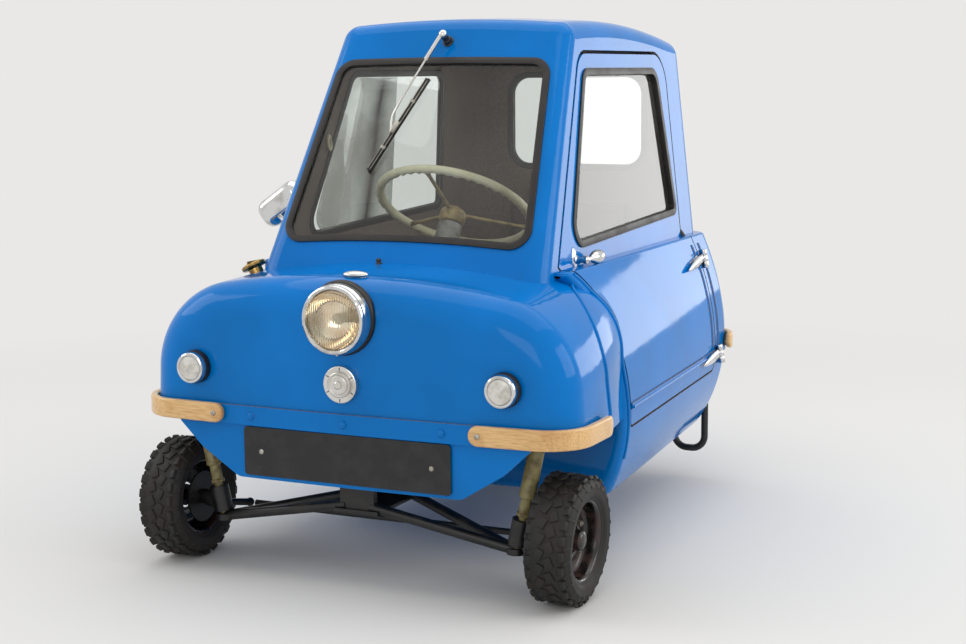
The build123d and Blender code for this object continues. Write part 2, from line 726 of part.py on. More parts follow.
hoop = bent_tube([
    (hoop_inner_x, hoop_y, 240), (hoop_inner_x, hoop_y, hoop_low_z),
    (hoop_outer_x, hoop_y, hoop_low_z), (hoop_outer_x, hoop_y, 240),
], 34, hoop_radius)
hoop = (hoop - cell_outer).solids().sort_by(Axis.Z)[0]
add("tail_hoops", hoop + mirror_x(hoop))

# Inside: box over the engine and rear wheel, seat, engine, pedals and gear lever
floor_z = cell_sections[0][0] + wall
box_outer = block((-seat_box_half, seat_box_front_y, floor_z), (seat_box_half, 700, seat_box_top_z))
box_room = block((-seat_box_half + seat_box_wall, seat_box_front_y + seat_box_wall, floor_z - 1),
                 (seat_box_half - seat_box_wall, 800, seat_box_top_z - seat_box_wall))
add("seat_box", (box_outer & cell_solid(wall)) - box_room)

cushion = block((-seat_half, seat_front_y, seat_box_top_z),
                (seat_half, seat_back_y - 2, seat_box_top_z + cushion_thick))
add("seat_cushion", fillet(cushion.edges(), 22))
back_rows = [
    (seat_back_y, seat_box_top_z, 14), (seat_back_y + 66, seat_box_top_z, 14),
    (seat_back_y + 66 + seat_back_lean, seat_back_top_z, 24), (seat_back_y + 12 + seat_back_lean, seat_back_top_z, 24),
]
back_plane = Plane(origin=(0, 0, 0), x_dir=(0, 1, 0), z_dir=(1, 0, 0))
seat_back = back_plane * slab(rounded_outline(back_rows), -seat_half + 12, seat_half - 12)
add("seat_back", seat_back)
add("engine_block", fillet(block(engine_low, engine_high).edges(), 12))

pedal_shaft = rod((-footwell_half + footwell_wall, pedal_shaft_y, pedal_shaft_z),
                  (footwell_half - footwell_wall, pedal_shaft_y, pedal_shaft_z), 8)
pedals = pedal_shaft
for x, width in pedal_rows:
    foot_y, foot_z = pedal_foot
    pedals = pedals + rod((x, pedal_shaft_y, pedal_shaft_z), (x, foot_y, foot_z), 6)
    pad = block((x - width / 2, foot_y, foot_z - 32), (x + width / 2, foot_y + 9, foot_z + 32))
    pedals = pedals + fillet(pad.edges().filter_by(Axis.Y), 8)
add("pedals", pedals)

lever_x, lever_y = gear_lever_at
gear = rod((lever_x, lever_y, floor_z), (lever_x, lever_y, floor_z + 26), 26)
gear = chamfer(gear.faces().sort_by(Axis.Z)[-1].edges(), 10)
gear_top = (lever_x + 14, lever_y - 30, floor_z + gear_lever_length)
gear = gear + rod((lever_x, lever_y, floor_z + 10), gear_top, 6) + Pos(*gear_top) * Sphere(19)
add("gear_lever", gear)

# Steering column, and the wheel with its shaft
rake = radians(steering_rake_deg)
wheel_plane = Plane(origin=steering_hub, x_dir=(1, 0, 0), z_dir=(0, sin(rake), cos(rake)))
floor_drop = (steering_hub[2] - footwell_low_z - footwell_wall) / cos(rake)
column = Pos(0, 0, -column_start - floor_drop / 2) * Cylinder(column_radius, floor_drop)
column = column - Pos(0, 0, -column_start) * Cylinder(shaft_radius + 1, 160)
cowl = Pos(0, 0, -column_start - 32) * Cylinder(28, 64)
cowl = cowl - Pos(0, 0, -column_start) * Cylinder(shaft_radius + 1, 160)
column = wheel_plane * (column + chamfer(cowl.faces().sort_by(Axis.Z)[0].outer_wire().edges(), 12))
foot_y = steering_hub[1] - floor_drop * sin(rake)
column = column & block((-80, foot_y - 90, footwell_low_z + footwell_wall), (80, 300, 900))
boot = rod((steering_hub[0], foot_y, footwell_low_z + footwell_wall),
           (steering_hub[0], foot_y, footwell_low_z + footwell_wall + 14), 34)
add("steering_column", column + boot)

rim_width_across = 2 * steering_rim_tube
wheel_ring = RectangleRounded(rim_width_across, rim_width_across, 0.9 * steering_rim_tube)
wheel_ring = revolve(Plane.XZ * (Pos(steering_rim_radius, 0) * wheel_ring), Axis.Z)
hub_body = Pos(0, 0, -22) * Cylinder(30, 36)
hub_body = chamfer(hub_body.edges().filter_by(GeomType.CIRCLE), 6)
wheel = wheel_ring + hub_body + Pos(0, 0, -column_start - 30) * Cylinder(shaft_radius, 90)
for turn in steering_spoke_turns:
    angle = radians(turn)
    tip = (steering_rim_radius * cos(angle), steering_rim_radius * sin(angle), 0)
    wheel = wheel + rod((0, 0, -18), tip, steering_spoke_radius)
add("steering_wheel", wheel_plane * wheel)

# Front suspension of the left side: strut with its kingpin, and the knuckle that turns on it
lean = radians(kingpin_lean_deg)
foot_x, foot_y, foot_z = kingpin_foot


def kingpin_at(z):
    """Point on the kingpin's leaning axis at one height."""
    return (foot_x + (z - foot_z) * tan(lean), foot_y, z)


strut = rod(kingpin_at(boss_high_z + 6), kingpin_at(strut_top_z), strut_radius)
strut = strut + rod(kingpin_at(boss_high_z + 6), kingpin_at(boss_high_z + 40), strut_radius + 3)
strut = strut + rod(kingpin_at(boss_low_z - 16), kingpin_at(boss_high_z + 10), kingpin_radius)
shelf_x = kingpin_at(strut_top_z)[0]
shelf = block((footwell_half, foot_y - 32, strut_top_z - 10), (shelf_x + 30, foot_y + 32, strut_top_z - 2))
strut = (strut & block((0, -900, 0), (700, 900, strut_top_z - 6))) + shelf
add("front_struts", strut + mirror_x(strut))

camber = radians(camber_deg)
front_wheel_z = tyre_radius * cos(camber) + tread_half * sin(camber)
wheel_centre = (front_wheel_x, front_wheel_y, front_wheel_z)
wheel_frame = Plane(origin=wheel_centre, x_dir=(0, 1, 0), z_dir=(cos(camber), 0, -sin(camber)))
boss = rod(kingpin_at(boss_low_z), kingpin_at(boss_high_z), boss_radius)
axle = wheel_frame * (Pos(0, 0, -15) * Cylinder(axle_radius, 60))
neck_bar = rod(kingpin_at(front_wheel_z - 4), tuple(wheel_frame.from_local_coords((0, 0, -40))), 17)
drum_plate = wheel_frame * (Pos(0, 0, -36) * Cylinder(56, 5))
steer_arm = rod(kingpin_at(track_ball[2] + 18), track_ball, 8)
ball = Pos(*track_ball) * Sphere(10)
pin_bore = rod(kingpin_at(boss_low_z - 40), kingpin_at(boss_high_z + 60), kingpin_radius + pin_gap)
knuckle = (boss + axle + neck_bar + drum_plate + steer_arm + ball) - pin_bore
add("knuckle_left", knuckle)
add("knuckle_right", mirror_x(knuckle))

arms = block((-52, arm_pivot_front_y - 14, arm_pivot_z - 15), (52, arm_pivot_rear_y + 14, arm_pivot_z - 7))
for y in (arm_pivot_front_y, arm_pivot_rear_y):
    arms = arms + block((-40, y - 8, arm_pivot_z - 12), (40, y + 8, footwell_low_z))
for side in (-1, 1):
    eye = kingpin_at(boss_low_z - 12)
    eye = (side * eye[0], eye[1], eye[2])
    low_eye = (eye[0], eye[1], eye[2] - 7)
    high_eye = (eye[0], eye[1], eye[2] + 6)
    arms = arms + rod(low_eye, high_eye, 20)
    for y in (arm_pivot_front_y, arm_pivot_rear_y):
        arms = arms + rod((side * arm_pivot_x, y, arm_pivot_z), eye, arm_tube_radius)
arms = arms - strut - mirror_x(strut)
add("front_arms", arms)

rod_half = track_ball[0] - track_gap
track = rod((-rod_half, track_ball[1], track_ball[2]), (rod_half, track_ball[1], track_ball[2]), track_rod_radius)
add("track_rod", track)

# Rear fork, from its pivot under the floor to the axle
pivot_y, pivot_z = fork_pivot
fork = rod((-fork_half - 18, pivot_y, pivot_z), (fork_half + 18, pivot_y, pivot_z), 13)
for side in (-1, 1):
    x = side * fork_half
    fork = fork + rod((x, pivot_y, pivot_z), (x, rear_wheel_y, tyre_radius), 12)
    fork = fork + rod((x - 6, rear_wheel_y, tyre_radius), (x + 6, rear_wheel_y, tyre_radius), 20)
    outer = side * (fork_half + 18)
    fork = fork + block((outer - 5, pivot_y - 22, pivot_z - 14), (outer + 5, pivot_y + 22, cell_sections[0][0]))
fork = fork + rod((-fork_half, rear_wheel_y, tyre_radius), (fork_half, rear_wheel_y, tyre_radius), axle_radius)
add("rear_fork", fork)


# Wheels: tyre and rim turned about their own axis, then set at each corner
def turned(rows):
    """Solid of revolution about Z from rows of radius, height and corner radius."""
    profile = rounded_outline(rows)
    plane = Plane(origin=(0, 0, 0), x_dir=(1, 0, 0), z_dir=(0, -1, 0))
    return revolve(plane * profile, Axis.Z)


half_width = tyre_width / 2
half_rim = rim_width / 2
tyre = turned([
    (bead_radius, -half_rim + 3, 0), (bead_radius + 24, -half_width, 14), (tyre_radius - 13, -half_width + 3, 0),
    (tyre_radius, -tread_half, 0), (tyre_radius, tread_half, 0), (tyre_radius - 13, half_width - 3, 0),
    (bead_radius + 24, half_width, 14), (bead_radius, half_rim - 3, 0),
])
hub_in = -22.0
hub_out = 24.0
rim = turned([
    (bead_radius, -half_rim, 0), (bead_radius, half_rim, 0), (bead_radius - 6, half_rim, 0),
    (bead_radius - 9, disc_z + 8, 0), (hub_radius + 22, disc_z, 6), (hub_radius, disc_z + 4, 0),
    (hub_radius - 2, hub_out + 12, 0), (hub_radius - 11, hub_out + 18, 0), (0, hub_out + 18, 0),
    (0, hub_in, 0), (hub_radius, hub_in, 0), (hub_radius, disc_z - 8, 0),
    (hub_radius + 20, disc_z - 6, 6), (bead_radius - 7, disc_z + 1, 0), (bead_radius - 5, -half_rim, 0),
])
axle_bore = Pos(0, 0, -20) * Cylinder(axle_radius + pin_gap, 80)
front_rim = rim - axle_bore
rear_bore = Cylinder(axle_radius + pin_gap, 160)
rear_frame = Plane(origin=(0, rear_wheel_y, tyre_radius), x_dir=(0, 1, 0), z_dir=(1, 0, 0))
add("tyre_front_left", wheel_frame * tyre)
add("rim_front_left", wheel_frame * front_rim)
add("tyre_front_right", mirror_x(wheel_frame * tyre))
add("rim_front_right", mirror_x(wheel_frame * front_rim))
add("tyre_rear", rear_frame * tyre)
add("rim_rear", rear_frame * (rim - rear_bore))

# The origin goes under the middle of the overall length
boxes = [shape.bounding_box() for shape in parts.values()]
middle_y = (min(b.min.Y for b in boxes) + max(b.max.Y for b in boxes)) / 2
print("origin moved back by", round(middle_y, 3))
os.makedirs("parts", exist_ok=True)
for name, shape in parts.items():
    export_step(Pos(0, -middle_y, 0) * shape, f"parts/{name}.step")
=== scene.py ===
"""Dresses a single-seat three wheeled microcar: moulded body, glass, chrome, tyres and seat.

The front faces -Y, the door side is +X and +Z is up. Sizes and places are written in the car's
millimetres and turned to metres where they are used.
"""
from __future__ import annotations

import json
import logging
from collections.abc import Sequence
from dataclasses import dataclass, field
from enum import Enum
from math import atan2, cos, pi, radians, sin, sqrt, tan

import bpy
from mathutils import Matrix, Vector

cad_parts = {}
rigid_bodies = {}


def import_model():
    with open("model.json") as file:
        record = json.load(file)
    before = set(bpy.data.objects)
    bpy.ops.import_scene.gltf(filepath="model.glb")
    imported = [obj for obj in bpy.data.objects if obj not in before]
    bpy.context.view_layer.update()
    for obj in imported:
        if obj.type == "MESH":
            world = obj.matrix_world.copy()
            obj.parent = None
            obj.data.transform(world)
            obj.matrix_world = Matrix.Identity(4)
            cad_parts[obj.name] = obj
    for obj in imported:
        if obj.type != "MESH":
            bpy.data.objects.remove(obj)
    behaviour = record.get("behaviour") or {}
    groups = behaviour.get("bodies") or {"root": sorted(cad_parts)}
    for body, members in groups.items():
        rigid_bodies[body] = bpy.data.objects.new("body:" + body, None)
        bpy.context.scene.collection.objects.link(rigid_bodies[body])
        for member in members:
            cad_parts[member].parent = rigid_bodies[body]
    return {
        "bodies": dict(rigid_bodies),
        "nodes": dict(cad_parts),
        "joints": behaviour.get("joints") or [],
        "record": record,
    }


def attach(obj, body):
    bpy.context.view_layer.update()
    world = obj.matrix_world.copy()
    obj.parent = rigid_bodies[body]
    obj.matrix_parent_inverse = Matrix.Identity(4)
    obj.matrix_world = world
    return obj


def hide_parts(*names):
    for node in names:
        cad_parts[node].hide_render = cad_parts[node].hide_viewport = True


log = logging.getLogger("microcar")

Point = tuple[float, float, float]
Rows = tuple[tuple[float, float], ...]
# Where a pattern begins to change one colour or gloss to the other, and where it has done so.
Band = tuple[float, float]

MM = 0.001
IMAGE_WIDTH = 966
SENSOR_WIDTH = 36.0
# The frame's origin lies this far behind the point that the car's millimetres are counted from.
ORIGIN_BACK = 13.0
# A wave texture runs through one turn over 20 of its units.
WAVE_TURN = 2 * pi / 20
# The colour sockets of a mix node: first colour, second colour and result.
MIX_FIRST, MIX_SECOND, MIX_RESULT = 6, 7, 2


class Body(Enum):
    """The moving groups of the car."""

    CHASSIS = "chassis"
    DOOR = "door"
    STEERING = "steering"
    WHEEL_FRONT_LEFT = "wheel_fl"
    WHEEL_FRONT_RIGHT = "wheel_fr"
    WHEEL_REAR = "wheel_r"


def linear(hex_colour: str) -> tuple[float, float, float, float]:
    """Turn an sRGB hex colour to linear light.

    Args:
        hex_colour: Six hex digits.

    Returns:
        Red, green, blue and an alpha of 1.
    """
    channels = [int(hex_colour[i:i + 2], 16) / 255 for i in (0, 2, 4)]
    lit = [c / 12.92 if c <= 0.04045 else ((c + 0.055) / 1.055) ** 2.4 for c in channels]
    return (lit[0], lit[1], lit[2], 1.0)


def per_metre(millimetres: float) -> float:
    """Texture scale whose pattern repeats about once in this many millimetres."""
    return 1.0 / (millimetres * MM)


class Graph:
    """The node tree of a material or of the world, built one node at a time."""

    def __init__(self, name: str, world: bpy.types.World | None = None) -> None:
        """Start an empty tree, in the given world or in a new material of this name.

        Args:
            name: The material's name.
            world: The world, if the tree is not a material's.
        """
        self.owner = world or bpy.data.materials.new(name)
        self.owner.use_nodes = True
        self.tree = self.owner.node_tree
        self.tree.nodes.clear()
        kind = "ShaderNodeOutputWorld" if world else "ShaderNodeOutputMaterial"
        self.output = self.tree.nodes.new(kind)

    def add(self, kind: str, inputs: tuple | dict = (), **settings: object) -> bpy.types.Node:
        """Add a node with its settings and links.

        Args:
            kind: The node's type.
            inputs: The first inputs in order, or input names or numbers to inputs. Each is a
                value, another node's output, or a node that gives its first output.
            **settings: Attributes of the node.

        Returns:
            The new node.
        """
        node = self.tree.nodes.new(kind)
        for name, value in settings.items():
            setattr(node, name, value)
        for key, value in inputs.items() if isinstance(inputs, dict) else enumerate(inputs):
            if isinstance(value, bpy.types.Node):
                value = value.outputs[0]
            if isinstance(value, bpy.types.NodeSocket):
                self.tree.links.new(value, node.inputs[key])
            else:
                node.inputs[key].default_value = value
        return node

    def finish(self, shader: bpy.types.Node) -> bpy.types.Material | bpy.types.World:
        """Link the last shader to the output and give the material or world back."""
        self.tree.links.new(shader.outputs[0], self.output.inputs["Surface"])
        return self.owner


@dataclass(frozen=True)
class MouldedGelcoat:
    """Blue polyester gelcoat, polished from the mould: a clear deep gloss with faint ripples.

    The inner side is the bare laminate, sprayed with brown fleck, so it is dull and speckled. The
    skin's inner side is where the normal points to the middle of the cab.
    """

    name: str
    blue: str = "0074c4"
    shade: str = "006cb6"
    fleck_dark: str = "6c5c50"
    fleck_light: str = "86766a"
    cloud_mm: float = 240.0
    cloud_band: Band = (0.35, 0.65)
    smudge_mm: float = 110.0
    smudge_band: Band = (0.45, 0.75)
    ripple_mm: float = 70.0
    ripple_depth: float = 0.8
    peel_mm: float = 2.2
    peel_depth: float = 0.02
    fleck_mm: float = 3.4
    fleck_band: Band = (0.38, 0.66)
    gloss: float = 0.07
    smudge_gloss: float = 0.13
    inner_dull: float = 0.55
    middle: Point = (0.0, 0.0, 0.40)
    turn_over: float = 0.012

    def make(self) -> bpy.types.Material:
        """Build the material.

        Returns:
            The material.
        """
        g = Graph(self.name)
        at = g.add("ShaderNodeTexCoord").outputs["Object"]
        normal = g.add("ShaderNodeNewGeometry").outputs["Normal"]
        centred = g.add("ShaderNodeVectorMath", (at, self.middle), operation="SUBTRACT")
        facing = g.add("ShaderNodeVectorMath", (centred, normal), operation="DOT_PRODUCT")
        inner = g.add("ShaderNodeMapRange", (facing.outputs["Value"], self.turn_over,
                                             -self.turn_over, 0.0, 1.0))
        cloud = g.add("ShaderNodeTexNoise", {"Vector": at, "Scale": per_metre(self.cloud_mm),
                                             "Detail": 3.0})
        shade = g.add("ShaderNodeMapRange", (cloud, *self.cloud_band, 0.0, 1.0))
        paint = g.add("ShaderNodeMix", {0: shade, MIX_FIRST: linear(self.blue),
                                        MIX_SECOND: linear(self.shade)}, data_type="RGBA")
        fleck = g.add("ShaderNodeTexNoise", {"Vector": at, "Scale": per_metre(self.fleck_mm),
                                             "Detail": 5.0})
        spray = g.add("ShaderNodeMapRange", (fleck, *self.fleck_band, 0.0, 1.0))
        bare = g.add("ShaderNodeMix", {0: spray, MIX_FIRST: linear(self.fleck_dark),
                                       MIX_SECOND: linear(self.fleck_light)}, data_type="RGBA")
        colour = g.add("ShaderNodeMix", {0: inner, MIX_FIRST: paint.outputs[MIX_RESULT],
                                         MIX_SECOND: bare.outputs[MIX_RESULT]}, data_type="RGBA")
        smudge = g.add("ShaderNodeTexNoise", {"Vector": at, "Scale": per_metre(self.smudge_mm),
                                              "Detail": 6.0})
        dull = g.add("ShaderNodeMapRange", (smudge, *self.smudge_band, self.gloss,
                                            self.smudge_gloss))
        lining = g.add("ShaderNodeMapRange", (inner, 0.0, 1.0, 0.0, self.inner_dull))
        rough = g.add("ShaderNodeMath", (dull, lining), operation="ADD")
        ripple = g.add("ShaderNodeTexNoise", {"Vector": at, "Scale": per_metre(self.ripple_mm),
                                              "Detail": 1.0})
        peel = g.add("ShaderNodeTexNoise", {"Vector": at, "Scale": per_metre(self.peel_mm),
                                            "Detail": 2.0})
        wave = g.add("ShaderNodeBump", {"Height": ripple, "Distance": self.ripple_depth * MM,
                                        "Strength": 0.25})
        skin = g.add("ShaderNodeBump", {"Height": peel, "Distance": self.peel_depth * MM,
                                        "Strength": 0.5, "Normal": wave})
        return g.finish(g.add("ShaderNodeBsdfPrincipled", {
            "Base Color": colour.outputs[MIX_RESULT], "Roughness": rough, "IOR": 1.45,
            "Specular IOR Level": 0.2, "Normal": skin}))


@dataclass(frozen=True)
class PlainFinish:
    """A finish of two close colours with fine unevenness, for enamel, plastic, rubber and metal."""

    name: str
    colour: str
    worn: str
    roughness: float = 0.4
    spread: float = 0.12
    metallic: float = 0.0
    patch_mm: float = 40.0
    grain_mm: float = 1.2
    relief_mm: float = 0.05
    coat: float = 0.0
    patch_band: Band = (0.45, 0.7)

    def make(self) -> bpy.types.Material:
        """Build the material.

        Returns:
            The material.
        """
        g = Graph(self.name)
        at = g.add("ShaderNodeTexCoord").outputs["Object"]
        patch = g.add("ShaderNodeTexNoise", {"Vector": at, "Scale": per_metre(self.patch_mm),
                                             "Detail": 6.0})
        share = g.add("ShaderNodeMapRange", (patch, *self.patch_band, 0.0, 1.0))
        colour = g.add("ShaderNodeMix", {0: share, MIX_FIRST: linear(self.colour),
                                         MIX_SECOND: linear(self.worn)}, data_type="RGBA")
        rough = g.add("ShaderNodeMapRange", (share, 0.0, 1.0, self.roughness,
                                             self.roughness + self.spread))
        grain = g.add("ShaderNodeTexNoise", {"Vector": at, "Scale": per_metre(self.grain_mm),
                                             "Detail": 3.0})
        bump = g.add("ShaderNodeBump", {"Height": grain, "Distance": self.relief_mm * MM,
                                        "Strength": 0.6})
        return g.finish(g.add("ShaderNodeBsdfPrincipled", {
            "Base Color": colour.outputs[MIX_RESULT], "Roughness": rough,
            "Metallic": self.metallic, "Coat Weight": self.coat, "Coat Roughness": 0.08,
            "Normal": bump}))


@dataclass(frozen=True)
class PlankFinish:
    """Pale ash strips under old varnish: long fine grain, amber where the varnish has pooled."""

    name: str
    pale: str = "e2b87c"
    amber: str = "b0712f"
    grain: str = "bd8c50"
    grain_mm: float = 3.0
    grain_depth: float = 0.12
    grain_band: Band = (0.42, 0.68)
    pool_mm: float = 90.0
    pool_band: Band = (0.5, 0.75)
    stretch: float = 9.0
    most: float = 0.7

    def make(self) -> bpy.types.Material:
        """Build the material.

        Returns:
            The material.
        """
        g = Graph(self.name)
        at = g.add("ShaderNodeTexCoord").outputs["Object"]
        along = g.add("ShaderNodeMapping", {"Vector": at, "Scale": (1.0 / self.stretch, 1.0, 1.0)})
        lines = g.add("ShaderNodeTexNoise", {"Vector": along, "Scale": per_metre(self.grain_mm),
                                             "Detail": 3.0})
        dark = g.add("ShaderNodeMapRange", (lines, *self.grain_band, 0.0, self.most))
        wood = g.add("ShaderNodeMix", {0: dark, MIX_FIRST: linear(self.pale),
                                       MIX_SECOND: linear(self.grain)}, data_type="RGBA")
        pool = g.add("ShaderNodeTexNoise", {"Vector": at, "Scale": per_metre(self.pool_mm),
                                            "Detail": 2.0})
        thick = g.add("ShaderNodeMapRange", (pool, *self.pool_band, 0.0, self.most))
        colour = g.add("ShaderNodeMix", {0: thick, MIX_FIRST: wood.outputs[MIX_RESULT],
                                         MIX_SECOND: linear(self.amber)}, data_type="RGBA")
        press = g.add("ShaderNodeBump", {"Height": lines, "Distance": self.grain_depth * MM,
                                         "Strength": 0.4})
        return g.finish(g.add("ShaderNodeBsdfPrincipled", {
            "Base Color": colour.outputs[MIX_RESULT], "Roughness": 0.3, "Coat Weight": 0.4,
            "Coat Roughness": 0.12, "Normal": press}))


@dataclass(frozen=True)
class ClearGlass:
    """Toughened window glass, a little dusty, with a faint smear that catches the light.

    A pane's inner surface gets no mirror share, because the light that leaves it at a slant would
    all be thrown back.
    """

    name: str
    tint: str = "f7f9f8"
    grime: str = "c9c4bb"
    smear_mm: float = 260.0
    smear_band: Band = (0.42, 0.72)
    clean: float = 0.01
    dust: float = 0.035

    def make(self) -> bpy.types.Material:
        """Build the material.

        Returns:
            The material.
        """
        g = Graph(self.name)
        at = g.add("ShaderNodeTexCoord").outputs["Object"]
        smear = g.add("ShaderNodeTexNoise", {"Vector": at, "Scale": per_metre(self.smear_mm),
                                             "Detail": 3.0})
        film = g.add("ShaderNodeMapRange", (smear, *self.smear_band, self.clean, self.dust))
        clear = g.add("ShaderNodeBsdfTransparent", {"Color": linear(self.tint)})
        gloss = g.add("ShaderNodeBsdfGlossy", {"Color": linear("ffffff"), "Roughness": 0.02})
        edge = g.add("ShaderNodeFresnel", {"IOR": 1.5})
        back = g.add("ShaderNodeNewGeometry").outputs["Backfacing"]
        front = g.add("ShaderNodeMapRange", (back, 0.0, 1.0, 1.0, 0.0))
        mirror = g.add("ShaderNodeMath", (edge, front), operation="MULTIPLY")
        pane = g.add("ShaderNodeMixShader", (mirror, clear, gloss))
        dust = g.add("ShaderNodeBsdfDiffuse", {"Color": linear(self.grime)})
        return g.finish(g.add("ShaderNodeMixShader", (film, pane, dust)))


@dataclass(frozen=True)
class FlutedLens:
    """Pressed lamp glass, whose upright inner flutes bend what lies behind into thin stripes."""

    name: str
    flute_mm: float = 5.6
    flute_depth: float = 0.8
    tint: str = "fbf8f0"

    def make(self) -> bpy.types.Material:
        """Build the material.

        Returns:
            The material.
        """
        g = Graph(self.name)
        at = g.add("ShaderNodeTexCoord").outputs["Object"]
        scale = WAVE_TURN / (self.flute_mm * MM)
        flutes = g.add("ShaderNodeTexWave", {"Vector": at, "Scale": scale, "Distortion": 0.0},
                       wave_type="BANDS", bands_direction="X")
        press = g.add("ShaderNodeBump", {"Height": flutes.outputs["Fac"],
                                         "Distance": self.flute_depth * MM, "Strength": 0.45})
        return g.finish(g.add("ShaderNodeBsdfPrincipled", {
            "Base Color": linear(self.tint), "Roughness": 0.03, "IOR": 1.5,
            "Transmission Weight": 1.0, "Normal": press}))


def assign(piece: bpy.types.Object, material: bpy.types.Material) -> None:
    """Give a piece one material all over."""
    piece.data.materials.clear()
    piece.data.materials.append(material)


def spot(x: float, y: float, z: float) -> Vector:
    """A point of the car given in millimetres, in the frame's metres."""
    return Vector((x, y - ORIGIN_BACK, z)) * MM


@dataclass(frozen=True)
class Place:
    """Where a piece that was modelled at the origin goes.

    Attributes:
        at: Its middle, in the car's millimetres.
        facing: Where its own +Z points.
        across: About where its own +X points.
    """

    at: Point = (0.0, 0.0, 0.0)
    facing: Point = (0.0, 0.0, 1.0)
    across: Point = (1.0, 0.0, 0.0)

    def matrix(self) -> Matrix:
        """The turn and move, in metres.

        Returns:
            The matrix that carries a piece from the origin to here.
        """
        ahead = Vector(self.facing).normalized()
        side = Vector(self.across)
        side = (side - ahead * side.dot(ahead)).normalized()
        turn = Matrix((side, ahead.cross(side), ahead)).transposed().to_4x4()
        return Matrix.Translation(spot(*self.at)) @ turn


